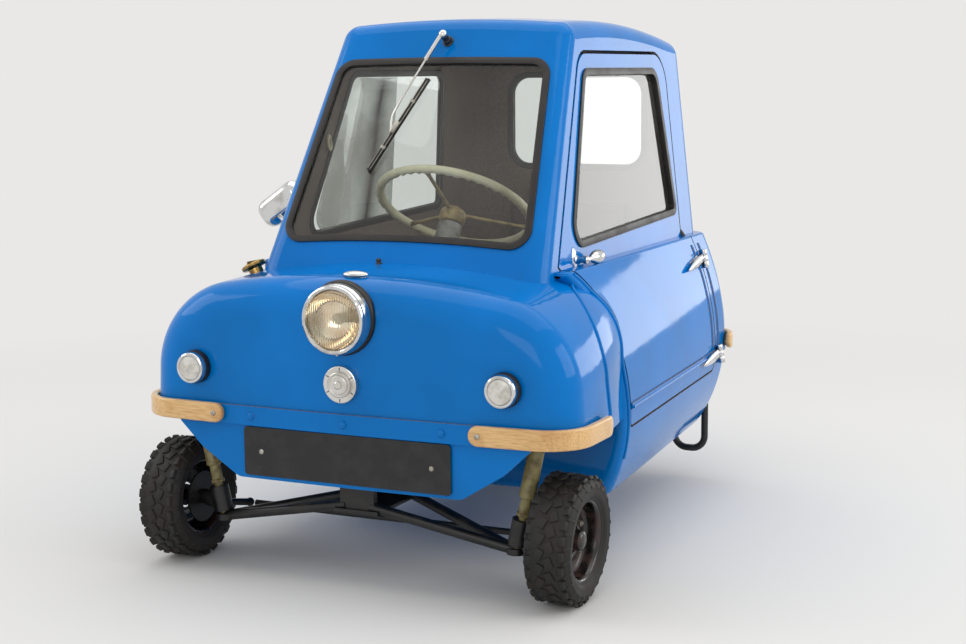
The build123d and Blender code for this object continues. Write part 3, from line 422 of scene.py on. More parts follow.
class Bench:
    """The hand modelling steps that the sub-assemblies share."""

    @staticmethod
    def clear() -> None:
        """Leave edit mode and deselect everything."""
        if bpy.context.object and bpy.context.object.mode == "EDIT":
            bpy.ops.object.mode_set(mode="OBJECT")
        bpy.ops.object.select_all(action="DESELECT")

    @staticmethod
    def hold(piece: bpy.types.Object) -> None:
        """Select one piece alone and make it active.

        Args:
            piece: The piece.
        """
        Bench.clear()
        piece.select_set(True)
        bpy.context.view_layer.objects.active = piece

    @staticmethod
    def edit(piece: bpy.types.Object) -> None:
        """Enter edit mode on one piece with all of it selected.

        Args:
            piece: The piece.
        """
        Bench.hold(piece)
        bpy.ops.object.mode_set(mode="EDIT")
        bpy.ops.mesh.select_all(action="SELECT")

    @staticmethod
    def close(piece: bpy.types.Object, name: str | None = None) -> bpy.types.Object:
        """Leave edit mode, and name the piece if a name is given.

        Args:
            piece: The piece that is edited.
            name: Its new name, if it gets one.

        Returns:
            The piece.
        """
        bpy.ops.object.mode_set(mode="OBJECT")
        if name:
            piece.name = name
        return piece

    @staticmethod
    def link(name: str, data: bpy.types.ID) -> bpy.types.Object:
        """Put new data into the scene as an object.

        Args:
            name: The object's name.
            data: Its mesh, curve, lamp or camera.

        Returns:
            The object.
        """
        thing = bpy.data.objects.new(name, data)
        bpy.context.scene.collection.objects.link(thing)
        return thing

    @staticmethod
    def carry(piece: bpy.types.Object, matrix: Matrix) -> bpy.types.Object:
        """Turn and move a piece and keep that in its mesh.

        Args:
            piece: The piece.
            matrix: The turn and move, in metres.

        Returns:
            The piece.
        """
        Bench.hold(piece)
        piece.matrix_world = matrix @ piece.matrix_world
        bpy.ops.object.transform_apply(location=True, rotation=True, scale=True)
        return piece

    @staticmethod
    def settle(piece: bpy.types.Object, place: Place) -> bpy.types.Object:
        """Carry a finished piece to its place."""
        return Bench.carry(piece, place.matrix())

    @staticmethod
    def stretch(piece: bpy.types.Object, by: Point) -> bpy.types.Object:
        """Stretch a piece about its own origin.

        Args:
            piece: The piece.
            by: Its new size on each axis, where 1 is as it was.

        Returns:
            The piece.
        """
        Bench.edit(piece)
        bpy.ops.transform.resize(value=by, center_override=(0, 0, 0))
        return Bench.close(piece)

    @staticmethod
    def apply(piece: bpy.types.Object, kind: str, **settings: object) -> bpy.types.Object:
        """Add one modifier with its settings and apply it.

        Args:
            piece: The piece.
            kind: The modifier's type.
            **settings: Its settings.

        Returns:
            The piece.
        """
        Bench.hold(piece)
        modifier = piece.modifiers.new(kind.lower(), kind)
        for name, value in settings.items():
            setattr(modifier, name, value)
        bpy.ops.object.modifier_apply(modifier=modifier.name)
        return piece

    @staticmethod
    def outward(piece: bpy.types.Object, merge_mm: float = 0.01) -> bpy.types.Object:
        """Merge doubled points and turn every face outwards.

        Args:
            piece: The piece.
            merge_mm: Points closer than this, in millimetres, are merged.

        Returns:
            The piece.
        """
        Bench.edit(piece)
        bpy.ops.mesh.remove_doubles(threshold=merge_mm * MM)
        bpy.ops.mesh.normals_make_consistent(inside=False)
        return Bench.close(piece)

    @staticmethod
    def smooth(piece: bpy.types.Object, crease: float) -> bpy.types.Object:
        """Shade smooth except at sharp edges.

        Args:
            piece: The piece.
            crease: Edges sharper than this many degrees stay sharp.

        Returns:
            The piece.
        """
        Bench.hold(piece)
        bpy.ops.object.shade_smooth_by_angle(angle=radians(crease))
        return piece

    @staticmethod
    def join(name: str, pieces: list[bpy.types.Object]) -> bpy.types.Object:
        """Join pieces into the first one and name it.

        Args:
            name: The joined piece's name.
            pieces: The pieces.

        Returns:
            The joined piece.
        """
        Bench.clear()
        for piece in pieces:
            piece.select_set(True)
        bpy.context.view_layer.objects.active = pieces[0]
        if len(pieces) > 1:
            bpy.ops.object.join()
        pieces[0].name = name
        return pieces[0]

    @staticmethod
    def copy(piece: bpy.types.Object, name: str) -> bpy.types.Object:
        """Copy a piece together with its mesh.

        Args:
            piece: The piece.
            name: The copy's name.

        Returns:
            The copy.
        """
        twin = piece.copy()
        twin.data = piece.data.copy()
        twin.name = name
        bpy.context.scene.collection.objects.link(twin)
        return twin

    @staticmethod
    def turned(name: str, rows: Rows, steps: int) -> bpy.types.Object:
        """Draw a ring out along Z through rows of radius and height, as on a lathe.

        Args:
            name: The piece's name.
            rows: Radius and height in millimetres; a ring that ends where it began is closed.
            steps: Corners round the ring.

        Returns:
            The turned piece, its axis on Z.
        """
        Bench.clear()
        least = 0.05
        radius, height = max(rows[0][0], least), rows[0][1]
        bpy.ops.mesh.primitive_circle_add(vertices=steps, radius=radius * MM)
        piece = bpy.context.object
        Bench.edit(piece)
        bpy.ops.transform.translate(value=(0, 0, height * MM))
        if rows[0] != rows[-1]:
            bpy.ops.mesh.edge_face_add()
        for wide, high in rows[1:]:
            wide = max(wide, least)
            rise = (0, 0, (high - height) * MM)
            bpy.ops.mesh.extrude_region_move(TRANSFORM_OT_translate={"value": rise})
            bpy.ops.transform.resize(value=(wide / radius, wide / radius, 1.0),
                                     center_override=(0, 0, high * MM))
            radius, height = wide, high
        return Bench.outward(Bench.close(piece, name))

    @staticmethod
    def slab(name: str, size: Point, round_mm: float, segments: int,
             middle: Point = (0.0, 0.0, 0.0)) -> bpy.types.Object:
        """Shape a block with rounded edges.

        Args:
            name: The block's name.
            size: Its full size in millimetres.
            round_mm: Radius of its edges.
            segments: Steps of the rounding.
            middle: Where its middle goes.

        Returns:
            The block.
        """
        Bench.clear()
        bpy.ops.mesh.primitive_cube_add(size=1.0)
        piece = bpy.context.object
        Bench.edit(piece)
        bpy.ops.transform.resize(value=tuple(s * MM for s in size), center_override=(0, 0, 0))
        bpy.ops.mesh.bevel(offset=round_mm * MM, segments=segments)
        bpy.ops.mesh.select_all(action="SELECT")
        bpy.ops.transform.translate(value=tuple(m * MM for m in middle))
        return Bench.close(piece, name)

    @staticmethod
    def egg(name: str, radii: Point, rings: int) -> bpy.types.Object:
        """Shape a ball drawn out to three half sizes.

        Args:
            name: The ball's name.
            radii: Its half sizes in millimetres.
            rings: Steps from pole to pole.

        Returns:
            The ball.
        """
        Bench.clear()
        bpy.ops.mesh.primitive_uv_sphere_add(segments=2 * rings, ring_count=rings, radius=MM)
        piece = Bench.stretch(bpy.context.object, radii)
        piece.name = name
        return piece

    @staticmethod
    def bar(name: str, points: Sequence[Point], radius: float,
            bend: bool = False) -> bpy.types.Object:
        """Draw a round bar through points of the car.

        Args:
            name: The bar's name.
            points: Its corners in the car's millimetres.
            radius: Half its thickness.
            bend: Whether it is one smooth bend instead of straight runs.

        Returns:
            The bar, its ends closed.
        """
        curve = bpy.data.curves.new(name, "CURVE")
        curve.dimensions = "3D"
        curve.bevel_depth = radius * MM
        curve.bevel_resolution = 3
        curve.resolution_u = 8
        curve.use_fill_caps = True
        spline = curve.splines.new("NURBS" if bend else "POLY")
        spline.points.add(len(points) - 1)
        for knot, point in zip(spline.points, points):
            knot.co = (*spot(*point), 1.0)
        if bend:
            spline.order_u = 3
            spline.use_endpoint_u = True
        Bench.hold(Bench.link(name, curve))
        bpy.ops.object.convert(target="MESH")
        return Bench.outward(bpy.context.object)

    @staticmethod
    def from_node(node: bpy.types.Object, name: str, round_mm: float = 0.0, segments: int = 3,
                  flat: float = 1.0, sharp: float = 32.0,
                  crease: float = 38.0) -> bpy.types.Object:
        """Copy a CAD node's mesh, merge its triangles and round its sharp edges.

        Args:
            node: The CAD node.
            name: The new piece's name.
            round_mm: Radius of the rounding, or 0 for none.
            segments: Steps of the rounding.
            flat: Faces within this many degrees are merged first.
            sharp: Edges sharper than this many degrees are rounded.
            crease: Edges sharper than this many degrees are shaded sharp.

        Returns:
            The refined copy.
        """
        piece = Bench.outward(Bench.link(name, node.data.copy()))
        Bench.edit(piece)
        bpy.ops.mesh.dissolve_limited(angle_limit=radians(flat))
        Bench.close(piece)
        if round_mm > 0:
            Bench.apply(piece, "BEVEL", width=round_mm * MM, segments=segments,
                        limit_method="ANGLE", angle_limit=radians(sharp), use_clamp_overlap=True)
        return Bench.smooth(piece, crease)


@dataclass(frozen=True)
class Turning:
    """A piece shaped on a lathe, and how it is finished.

    Attributes:
        name: Its name, in the singular where it is copied.
        rows: Radius and height in millimetres.
        steps: Corners round it.
        crease: Edges sharper than this many degrees stay sharp.
        finish: The name of its finish.
        slot: The record's material slot.
        nodes: CAD nodes that it stands for.
    """

    name: str
    rows: Rows
    steps: int
    crease: float
    finish: str
    slot: str
    nodes: tuple[str, ...] = ()

    def shape(self) -> bpy.types.Object:
        """Turn the piece and shade it."""
        return Bench.smooth(Bench.turned(self.name, self.rows, self.steps), self.crease)


@dataclass
class Assembly:
    """A group of pieces that take their finishes from one set."""

    finishes: dict[str, bpy.types.Material]

    def fit(self, piece: bpy.types.Object, finish: str, slot: str, *nodes: str,
            body: Body = Body.CHASSIS) -> None:
        """Dress a piece, tie it to its body and say which CAD nodes it stands for.

        Args:
            piece: The finished piece.
            finish: The name of its finish.
            slot: The record's material slot; not used.
            *nodes: CAD nodes that it stands for.
            body: The group it moves with.
        """
        assign(piece, self.finishes[finish])
        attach(piece, body.value)
        if nodes:
            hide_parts(*nodes)
        log.info("made %s on %s", piece.name, body.value)

    def turn(self, turning: Turning, place: Place) -> None:
        """Turn one piece and fit it to the chassis at its place."""
        piece = Bench.settle(turning.shape(), place)
        self.fit(piece, turning.finish, turning.slot, *turning.nodes)

    def repeat(self, turning: Turning, places: list[Place]) -> None:
        """Turn a pattern, copy it to its places on the chassis and fit the copies as one piece.

        Args:
            turning: The pattern.
            places: Where its copies go.
        """
        pattern = turning.shape()
        row = [Bench.settle(Bench.copy(pattern, turning.name), place) for place in places]
        self.fit(Bench.join(turning.name + "s", row), turning.finish, turning.slot, *turning.nodes)
        bpy.data.objects.remove(pattern)


@dataclass(frozen=True)
class Lamp:
    """One soft rectangular lamp.

    Attributes:
        name: Its name.
        at: Where it hangs, in metres.
        size: Its width and height in metres.
        power: Its power in watts.
    """

    name: str
    at: Point
    size: tuple[float, float]
    power: float


@dataclass
class Studio:
    """Pale floor, soft lamps and the camera at the photograph's angle, in metres."""

    camera_at: Point = (1.6832, -3.6121, 1.0634)
    yaw: float = -24.8
    pitch: float = 8.44
    roll: float = -0.46
    focal_pixels: float = 1686.2
    farthest: float = 60.0
    floor_half: float = 9.0
    floor_colour: str = "dcdad6"
    fill_colour: str = "f4f6fa"
    fill_strength: float = 0.75
    haze_colour: str = "e9e8e6"
    haze_from: float = 1.1
    haze_full: float = 3.4
    lamps_face: Point = (0.0, 0.0, 0.5)
    lamps: tuple[Lamp, ...] = (
        Lamp("window_right", (3.6, 0.4, 1.9), (2.6, 1.8), 42.0),
        Lamp("window_left", (-3.4, -1.2, 2.4), (2.2, 1.8), 26.0),
        Lamp("window_back", (2.4, 4.8, 1.1), (2.4, 1.3), 26.0),
        Lamp("skylight", (0.0, 0.4, 3.8), (5.2, 4.0), 70.0),
        Lamp("front_fill", (0.8, -4.6, 1.9), (2.4, 1.6), 24.0))

    def camera(self) -> None:
        """Place the camera that the photograph was taken from."""
        yaw, pitch, roll = radians(self.yaw), radians(self.pitch), radians(self.roll)
        ahead = Vector((sin(yaw) * cos(pitch), cos(yaw) * cos(pitch), -sin(pitch)))
        level = Vector((cos(yaw), -sin(yaw), 0.0))
        above = level.cross(ahead)
        right = level * cos(roll) + above * sin(roll)
        up = above * cos(roll) - level * sin(roll)
        data = bpy.data.cameras.new("photo_camera")
        data.sensor_width = SENSOR_WIDTH
        data.lens = self.focal_pixels * SENSOR_WIDTH / IMAGE_WIDTH
        data.clip_end = self.farthest
        camera = Bench.link("photo_camera", data)
        turn = Matrix((right, up, -ahead)).transposed().to_4x4()
        camera.matrix_world = Matrix.Translation(self.camera_at) @ turn
        bpy.context.scene.camera = camera

    @staticmethod
    def seen(g: Graph) -> bpy.types.Node:
        """Tell what the eye sees, by itself, in gloss or through glass, from other light.

        Args:
            g: The tree that needs it.

        Returns:
            A node that gives 1 for what the eye sees and 0 for the rest.
        """
        rays = g.add("ShaderNodeLightPath").outputs
        direct = g.add("ShaderNodeMath", (rays["Is Camera Ray"], rays["Is Glossy Ray"]),
                       operation="ADD")
        return g.add("ShaderNodeMath", (direct, rays["Is Transmission Ray"]), operation="ADD",
                     use_clamp=True)

    def world(self) -> None:
        """Dim light for the object and a pale haze for what the eye and gloss see."""
        world = bpy.data.worlds.new("studio_haze")
        bpy.context.scene.world = world
        g = Graph("studio_haze", world)
        fill = g.add("ShaderNodeBackground", (linear(self.fill_colour), self.fill_strength))
        haze = g.add("ShaderNodeBackground", (linear(self.haze_colour), 1.0))
        g.finish(g.add("ShaderNodeMixShader", (self.seen(g), fill, haze)))

    def floor(self) -> None:
        """Lay the pale floor, which fades into the haze away from the car."""
        bpy.ops.mesh.primitive_plane_add(size=2 * self.floor_half)
        floor = bpy.context.object
        floor.name = "studio_floor"
        g = Graph("matt studio paint")
        paint = g.add("ShaderNodeBsdfDiffuse", {"Color": linear(self.floor_colour)})
        haze = g.add("ShaderNodeEmission", {"Color": linear(self.haze_colour), "Strength": 1.0})
        at = g.add("ShaderNodeTexCoord").outputs["Object"]
        away = g.add("ShaderNodeVectorMath", (at,), operation="LENGTH").outputs["Value"]
        fade = g.add("ShaderNodeMapRange", (away, self.haze_from, self.haze_full, 0.0, 1.0))
        share = g.add("ShaderNodeMath", (self.seen(g), fade), operation="MULTIPLY")
        assign(floor, g.finish(g.add("ShaderNodeMixShader", (share, paint, haze))))

    def light(self) -> None:
        """Hang the lamps: windows on both sides and behind, a skylight and a weak front fill."""
        for lamp in self.lamps:
            data = bpy.data.lights.new(lamp.name, "AREA")
            data.shape = "RECTANGLE"
            data.size, data.size_y = lamp.size
            data.energy = lamp.power
            light = Bench.link(lamp.name, data)
            light.location = lamp.at
            way = Vector(self.lamps_face) - Vector(lamp.at)
            light.rotation_euler = way.to_track_quat("-Z", "Y").to_euler()

    def build(self) -> None:
        """Make the whole studio."""
        self.world()
        self.floor()
        self.light()
        self.camera()
        bpy.context.scene.view_settings.view_transform = "Standard"


@dataclass
class Finishes:
    """Every finish of the car, and which CAD node takes which."""

    made: dict[str, bpy.types.Material] = field(default_factory=dict)

    def build(self) -> None:
        """Make each material once."""
        kinds = [
            MouldedGelcoat("moulded gelcoat"),
            ClearGlass("toughened glass"),
            # Sheet acrylic, rubbed hazy: whitish, and what lies behind shows weakly.
            ClearGlass("hazed acrylic", tint="eceeec", dust=0.55),
            FlutedLens("ribbed lamp glass"),
            # Extruded rubber: soft black with a weak shine, browner where it is worn.
            PlainFinish("window rubber", "15110f", "241d1a", 0.42, 0.15, relief_mm=0.04),
            # Plated and polished: a sharp mirror under patches of warm haze.
            PlainFinish("chromium plate", "d9dadb", "a9a298", 0.07, 0.16, 1.0, 26.0, 0.8, 0.004,
                        patch_band=(0.5, 0.8)),
            # Moulded acrylic: deep red with a glassy skin.
            PlainFinish("red acrylic", "8e0f10", "a01715", 0.12, 0.05, coat=0.5),
            PlankFinish("varnished ash"),
            # Baked enamel: black, half gloss, dusty in patches.
            PlainFinish("black stove enamel", "111213", "2a2724", 0.35, 0.2),
            # Coated cloth rolled with a fine grain: dark brown with a soft shine.
            PlainFinish("leathercloth", "35231f", "473029", 0.5, 0.1, grain_mm=1.6, relief_mm=0.25),
            # Pressed board left bare: dull brown with a fibrous skin.
            PlainFinish("fibre board", "6a5a48", "80705c", 0.75, 0.1, grain_mm=2.0, relief_mm=0.15),
            # Moulded plastic, yellowed: an even, softly glossy cream.
            PlainFinish("cream moulded plastic", "d6cfae", "c2b78e", 0.35, 0.15, patch_mm=60.0),
            # Brushed enamel: olive, browned in small patches.
            PlainFinish("olive enamel", "8b8156", "5c4b2c", 0.38, 0.2, patch_mm=18.0),
            # Cast in sand: grey metal with a coarse dull skin.
            PlainFinish("sand cast alloy", "8d8c88", "6e6a63", 0.55, 0.1, 1.0, 20.0, 1.5, 0.2),
            # Vulcanised rubber: nearly black and dull, with brown dust.
            PlainFinish("tyre rubber", "110f0e", "231b16", 0.62, 0.15, patch_mm=45.0,
                        relief_mm=0.1),
            # Sprayed enamel: glossy black, rusty brown in patches.
            PlainFinish("black wheel enamel", "110f0f", "3c241a", 0.2, 0.3, patch_mm=30.0,
                        coat=0.3),
            # Stove enamelled sheet: smooth glossy black.
            PlainFinish("black gloss plate", "131314", "222223", 0.25, 0.15),
            # Zinc plate gone dull: soft grey shine with darker specks.
            PlainFinish("dull zinc", "b4b0a8", "7d766b", 0.32, 0.2, 1.0, 12.0),
            # Polished aluminium gone dull: pale, with a wide soft shine.
            PlainFinish("dull aluminium", "dddbd7", "c4c0b8", 0.26, 0.10, 1.0, 60.0, 0.8, 0.004),
            # Old mirror silver: bright and sharp, amber in patches.
            PlainFinish("aged silvering", "f2ecdd", "cfa679", 0.06, 0.1, 1.0, 46.0, 0.8, 0.002,
                        patch_band=(0.45, 0.85)),
            # Etched glass: milky, with a weak shine.
            PlainFinish("frosted bulb", "e9e2cf", "cfc3a2", 0.3, 0.1),
            # Pressed opal glass: whitish and glossy, with a pebbled skin.
            PlainFinish("milky lamp glass", "d9d6cd", "b9b4a8", 0.12, 0.1, 0.0, 14.0, 2.4, 0.15,
                        0.4),
            # Turned brass under old lacquer: yellow metal, browned in patches.
            PlainFinish("lacquered brass", "a98a52", "5f4a2a", 0.22, 0.18, 1.0, 16.0),
            # Cast metal with worn tan paint: half gloss, with a little of the metal's shine.
            PlainFinish("tan cast hub", "a58f5e", "6d5c38", 0.4, 0.2, 0.3, 20.0),
        ]
        self.made = {kind.name: kind.make() for kind in kinds}

    def dress_nodes(self, nodes: dict[str, bpy.types.Object]) -> None:
        """Give every CAD node its finish.

        Args:
            nodes: The CAD nodes by name.
        """
        table = {
            "moulded gelcoat": "upper_body lower_body footwell_box door_shell front_valance",
            "toughened glass": "windscreen_glass side_window_glass rear_window_glass door_glass",
            "ribbed lamp glass": "headlamp_lens side_lamp_lenses",
            "window rubber": "windscreen_seal side_window_seal rear_window_seal door_seal",
            "chromium plate": "headlamp_shell side_lamp_rims horn_disc fuel_cap mirror "
                              "door_handle hinge_straps hinge_brackets grab_handle",
            "red acrylic": "rear_lamps",
            "varnished ash": "front_bumperettes rear_bumperettes",
            "black stove enamel": "wiper tail_hoops pedals gear_lever knuckle_left "
                                  "knuckle_right front_arms track_rod rear_fork",
            "leathercloth": "seat_cushion seat_back",
            "fibre board": "seat_box",
            "cream moulded plastic": "steering_wheel",
            "olive enamel": "front_struts",
            "sand cast alloy": "engine_block steering_column",
            "tyre rubber": "tyre_front_left tyre_front_right tyre_rear",
            "black wheel enamel": "rim_front_left rim_front_right rim_rear",
            "black gloss plate": "front_plate",
        }
        for finish, names in table.items():
            for name in names.split():
                assign(nodes[name], self.made[finish])
            log.info("dressed %s in %s", names, finish)


@dataclass(frozen=True)
class Lug:
    """One block of the tread.

    Attributes:
        name: Its name.
        size: Its depth, length and width in millimetres.
        round_mm: Radius of its edges.
        segments: Steps of the rounding.
        sunk: How far its middle lies inside the tyre's radius.
        out: How far its middle lies from the tyre's middle plane.
        tilt: Degrees that it leans.
        axis: Axis that it leans about.
        between: Whether it stands half a pitch behind the others of its side.
    """

    name: str
    size: Point
    round_mm: float
    segments: int
    sunk: float
    out: float
    tilt: float
    axis: str
    between: bool = False


@dataclass
class Wheels(Assembly):
    """Three small wheels: deep pressed rims and chunky block tyres.

    A wall row gives the rise above the bead and the distance from the tyre's middle plane.
    """

    tyre_radius: float = 133.0
    bead_radius: float = 81.0
    lining_rise: float = 1.0
    lining_half: float = 30.0
    wall: Rows = (
        (0.0, 39.0), (1.6, 41.2), (4.0, 42.4), (7.0, 42.8), (9.0, 45.0), (14.0, 47.6), (20.0, 48.8),
        (26.0, 48.8), (27.5, 49.6), (29.5, 49.4), (31.0, 48.0), (37.0, 46.2), (42.0, 41.2),
        (45.2, 34.0), (47.2, 24.0), (47.8, 12.0))
    lugs: tuple[Lug, ...] = (
        Lug("lug", (7.5, 22.5, 17.0), 1.8, 2, 4.9, 10.5, 24.0, "X"),
        Lug("knob", (8.5, 19.0, 22.0), 2.2, 2, 7.8, 31.0, 24.0, "Y", True),
        Lug("heel", (19.0, 8.0, 6.0), 1.6, 1, 15.5, 43.6, 32.0, "Y"))
    pitches: int = 26
    nuts: int = 4
    nut_circle: float = 38.0
    front_at: Point = (455.0, -543.0, 133.9)
    rear_y: float = 505.0
    camber: float = 2.0

    def carcass(self) -> bpy.types.Object:
        """Turn the tyre's casing with its bead, ribbed wall and shoulder.

        Returns:
            The casing.
        """
        front = tuple((self.bead_radius + rise, side) for rise, side in self.wall)
        back = tuple((radius, -side) for radius, side in reversed(front))
        lining = self.bead_radius + self.lining_rise
        inside = ((lining, -self.lining_half), (lining, self.lining_half))
        return Bench.turned("tyre_casing", (*front, *back, *inside, front[0]), 96)

    def tread(self) -> bpy.types.Object:
        """Shape one pitch of the tread and copy it round.

        Returns:
            The whole tread.
        """
        turn = 2 * pi / self.pitches
        made = []
        for side in (-1, 1):
            late = 0.0 if side < 0 else turn / 2
            for lug in self.lugs:
                angle = late + turn / 2 if lug.between else late
                out = Vector((self.tyre_radius - lug.sunk, 0, side * lug.out)) * MM
                block = Bench.slab(lug.name, lug.size, lug.round_mm, lug.segments)
                made.append(Bench.carry(block, Matrix.Rotation(angle, 4, "Z")
                                        @ Matrix.Translation(out)
                                        @ Matrix.Rotation(side * radians(lug.tilt), 4, lug.axis)))
        pitch = Bench.join("tread_pitch", made)
        Bench.edit(pitch)
        copies = self.pitches - 1
        bpy.ops.mesh.spin(steps=copies, dupli=True, angle=turn * copies, center=(0, 0, 0),
                          axis=(0, 0, 1))
        return Bench.close(pitch)

    def tyre(self) -> bpy.types.Object:
        """Put the casing and the tread together.

        Returns:
            The tyre, its axis on Z.
        """
        piece = Bench.join("tyre", [self.carcass(), self.tread()])
        Bench.edit(piece)
        bpy.ops.mesh.normals_make_consistent(inside=False)
        return Bench.smooth(Bench.close(piece), 42.0)

    def rim(self) -> tuple[bpy.types.Object, bpy.types.Object, bpy.types.Object]:
        """Turn the deep rim, its domed hub cap and the wheel nuts.

        Returns:
            The rim, the cap and the nuts, their axis on Z.
        """
        dish = Bench.turned("rim_dish", (
            (81.0, -39.0), (82.6, -39.0), (83.0, -36.5), (81.2, -34.0), (80.6, -30.0), (80.6, 30.0),
            (81.2, 34.0), (83.0, 36.5), (84.2, 38.6), (83.6, 39.8), (81.6, 39.8), (79.4, 38.4),
            (77.4, 36.0), (75.6, 31.0), (74.6, 22.0), (73.6, 14.0), (71.0, 8.5), (66.0, 6.0),
            (54.0, 7.0), (50.0, 9.0), (46.0, 12.5), (34.0, 13.0), (28.0, 12.0), (28.0, 8.0),
            (46.0, 8.0), (54.0, 2.0), (68.0, 2.0), (73.0, 4.0), (76.0, -20.0), (77.0, -36.0),
            (81.0, -39.0)), 96)
        cap = Bench.turned("hub_cap", (
            (0.0, 8.0), (24.0, 8.0), (24.4, 12.0), (22.0, 16.0), (21.2, 28.0), (19.8, 32.0),
            (16.4, 35.0), (10.6, 37.0), (5.0, 37.8), (0.0, 38.0)), 48)
        nuts = []
        for number in range(self.nuts):
            nut = Bench.turned("wheel_nut", (
                (0.0, 10.0), (7.6, 10.0), (7.6, 12.8), (6.2, 12.8), (6.2, 17.6), (5.4, 18.6),
                (3.4, 18.6), (3.4, 21.0), (0.0, 21.4)), 6)
            angle = pi / 4 + number * 2 * pi / self.nuts
            nuts.append(Bench.carry(nut, Matrix.Rotation(angle, 4, "Z")
                                    @ Matrix.Translation((self.nut_circle * MM, 0, 0))))
        return (Bench.smooth(dish, 40.0), Bench.smooth(cap, 40.0),
                Bench.smooth(Bench.join("wheel_nuts", nuts), 25.0))

    def corners(self) -> list[tuple[Body, str, Place]]:
        """Say where each wheel goes, its outer side facing out.

        Returns:
            The body, the corner's name and the place of each wheel.
        """
        lean = radians(self.camber)
        x, y, z = self.front_at
        fronts = [(body, name, Place((side * x, y, z), (side * cos(lean), 0, -sin(lean)),
                                     (0, 1, 0)))
                  for body, name, side in ((Body.WHEEL_FRONT_LEFT, "front_left", 1),
                                           (Body.WHEEL_FRONT_RIGHT, "front_right", -1))]
        rear = Place((0, self.rear_y, self.tyre_radius), (1, 0, 0), (0, 1, 0))
        return [*fronts, (Body.WHEEL_REAR, "rear", rear)]

    def build(self) -> None:
        """Make one wheel and copy it to the three corners."""
        tyre = self.tyre()
        dish, cap, nuts = self.rim()
        parts = ((tyre, "block_tyre", "tyre rubber", "tyre_rubber", "tyre"),
                 (dish, "pressed_rim", "black wheel enamel", "brown_enamel", "rim"),
                 (cap, "hub_cap", "black wheel enamel", "brown_enamel", None),
                 (nuts, "wheel_nuts", "dull zinc", "cast_alloy", None))
        for body, corner, place in self.corners():
            for pattern, name, finish, slot, node in parts:
                piece = Bench.settle(Bench.copy(pattern, f"{name}_{corner}"), place)
                nodes = (f"{node}_{corner}",) if node else ()
                self.fit(piece, finish, slot, *nodes, body=body)
        for pattern, *_ in parts:
            bpy.data.objects.remove(pattern)


@dataclass
class Headlamp(Assembly):
    """One round headlamp: rubber ring, chromium rim, ribbed lens, reflector, bulb and rim screw."""

    height: float = 571.0
    front_y: float = -677.0
    screw_back: float = 14.0
    screw_drop: float = 72.6
    turnings: tuple[Turning, ...] = (
        Turning("headlamp_rim", (
            (61.5, 1.0), (62.5, 4.2), (64.5, 6.0), (67.0, 6.2), (69.5, 4.6), (71.0, 1.5),
            (71.6, -3.0), (70.9, -5.0), (71.8, -7.5), (73.4, -14.0), (73.8, -22.0), (73.2, -28.0),
            (70.0, -29.0), (66.0, -28.0), (66.0, -8.0), (61.5, -3.0), (61.5, 1.0)),
            96, 30.0, "chromium plate", "bright_chrome", ("headlamp_shell",)),
        Turning("headlamp_gasket", (
            (68.0, -27.5), (74.5, -27.5), (76.5, -30.0), (77.5, -34.0), (77.5, -43.0),
            (66.0, -43.0), (66.0, -30.0), (68.0, -27.5)),
            96, 40.0, "window rubber", "black_rubber"),
        Turning("headlamp_ribbed_lens", (
            (62.4, -6.0), (62.4, -1.0), (60.0, 1.2), (54.0, 3.2), (44.0, 5.6), (32.0, 7.4),
            (18.0, 8.6), (0.0, 9.2), (0.0, 6.4), (18.0, 5.8), (32.0, 4.6), (44.0, 2.8), (54.0, 0.4),
            (59.5, -2.0), (60.0, -6.0), (62.4, -6.0)),
            96, 50.0, "ribbed lamp glass", "lamp_glass", ("headlamp_lens",)),
        Turning("headlamp_reflector", (
            (61.0, -7.0), (56.0, -17.0), (48.0, -28.0), (38.0, -37.5), (26.0, -44.5), (14.0, -48.0),
            (0.0, -48.6), (0.0, -50.2), (14.0, -49.6), (26.6, -46.0), (38.8, -39.0), (49.0, -29.4),
            (57.2, -18.0), (62.4, -7.0), (61.0, -7.0)),
            96, 50.0, "aged silvering", "bright_chrome"),
        Turning("headlamp_bulb", (
            (0.0, -49.0), (10.0, -49.0), (10.0, -38.0), (7.5, -36.0), (7.5, -33.0), (11.0, -28.0),
            (12.5, -22.0), (11.0, -16.0), (7.0, -12.5), (0.0, -11.0)),
            32, 40.0, "frosted bulb", "lamp_glass"))
    screw: Turning = Turning("headlamp_rim_screw", (
        (0.0, 0.0), (3.6, 0.0), (3.4, 1.8), (2.0, 2.8), (0.0, 3.0)),
        16, 50.0, "chromium plate", "bright_chrome")

    def build(self) -> None:
        """Turn the lamp's pieces on one axis, and the screw in the rim's foot."""
        for turning in self.turnings:
            self.turn(turning, Place((0.0, self.front_y, self.height), (0, -1, 0)))
        foot = (0.0, self.front_y + self.screw_back, self.height - self.screw_drop)
        self.turn(self.screw, Place(foot, (0, -0.2, -1)))


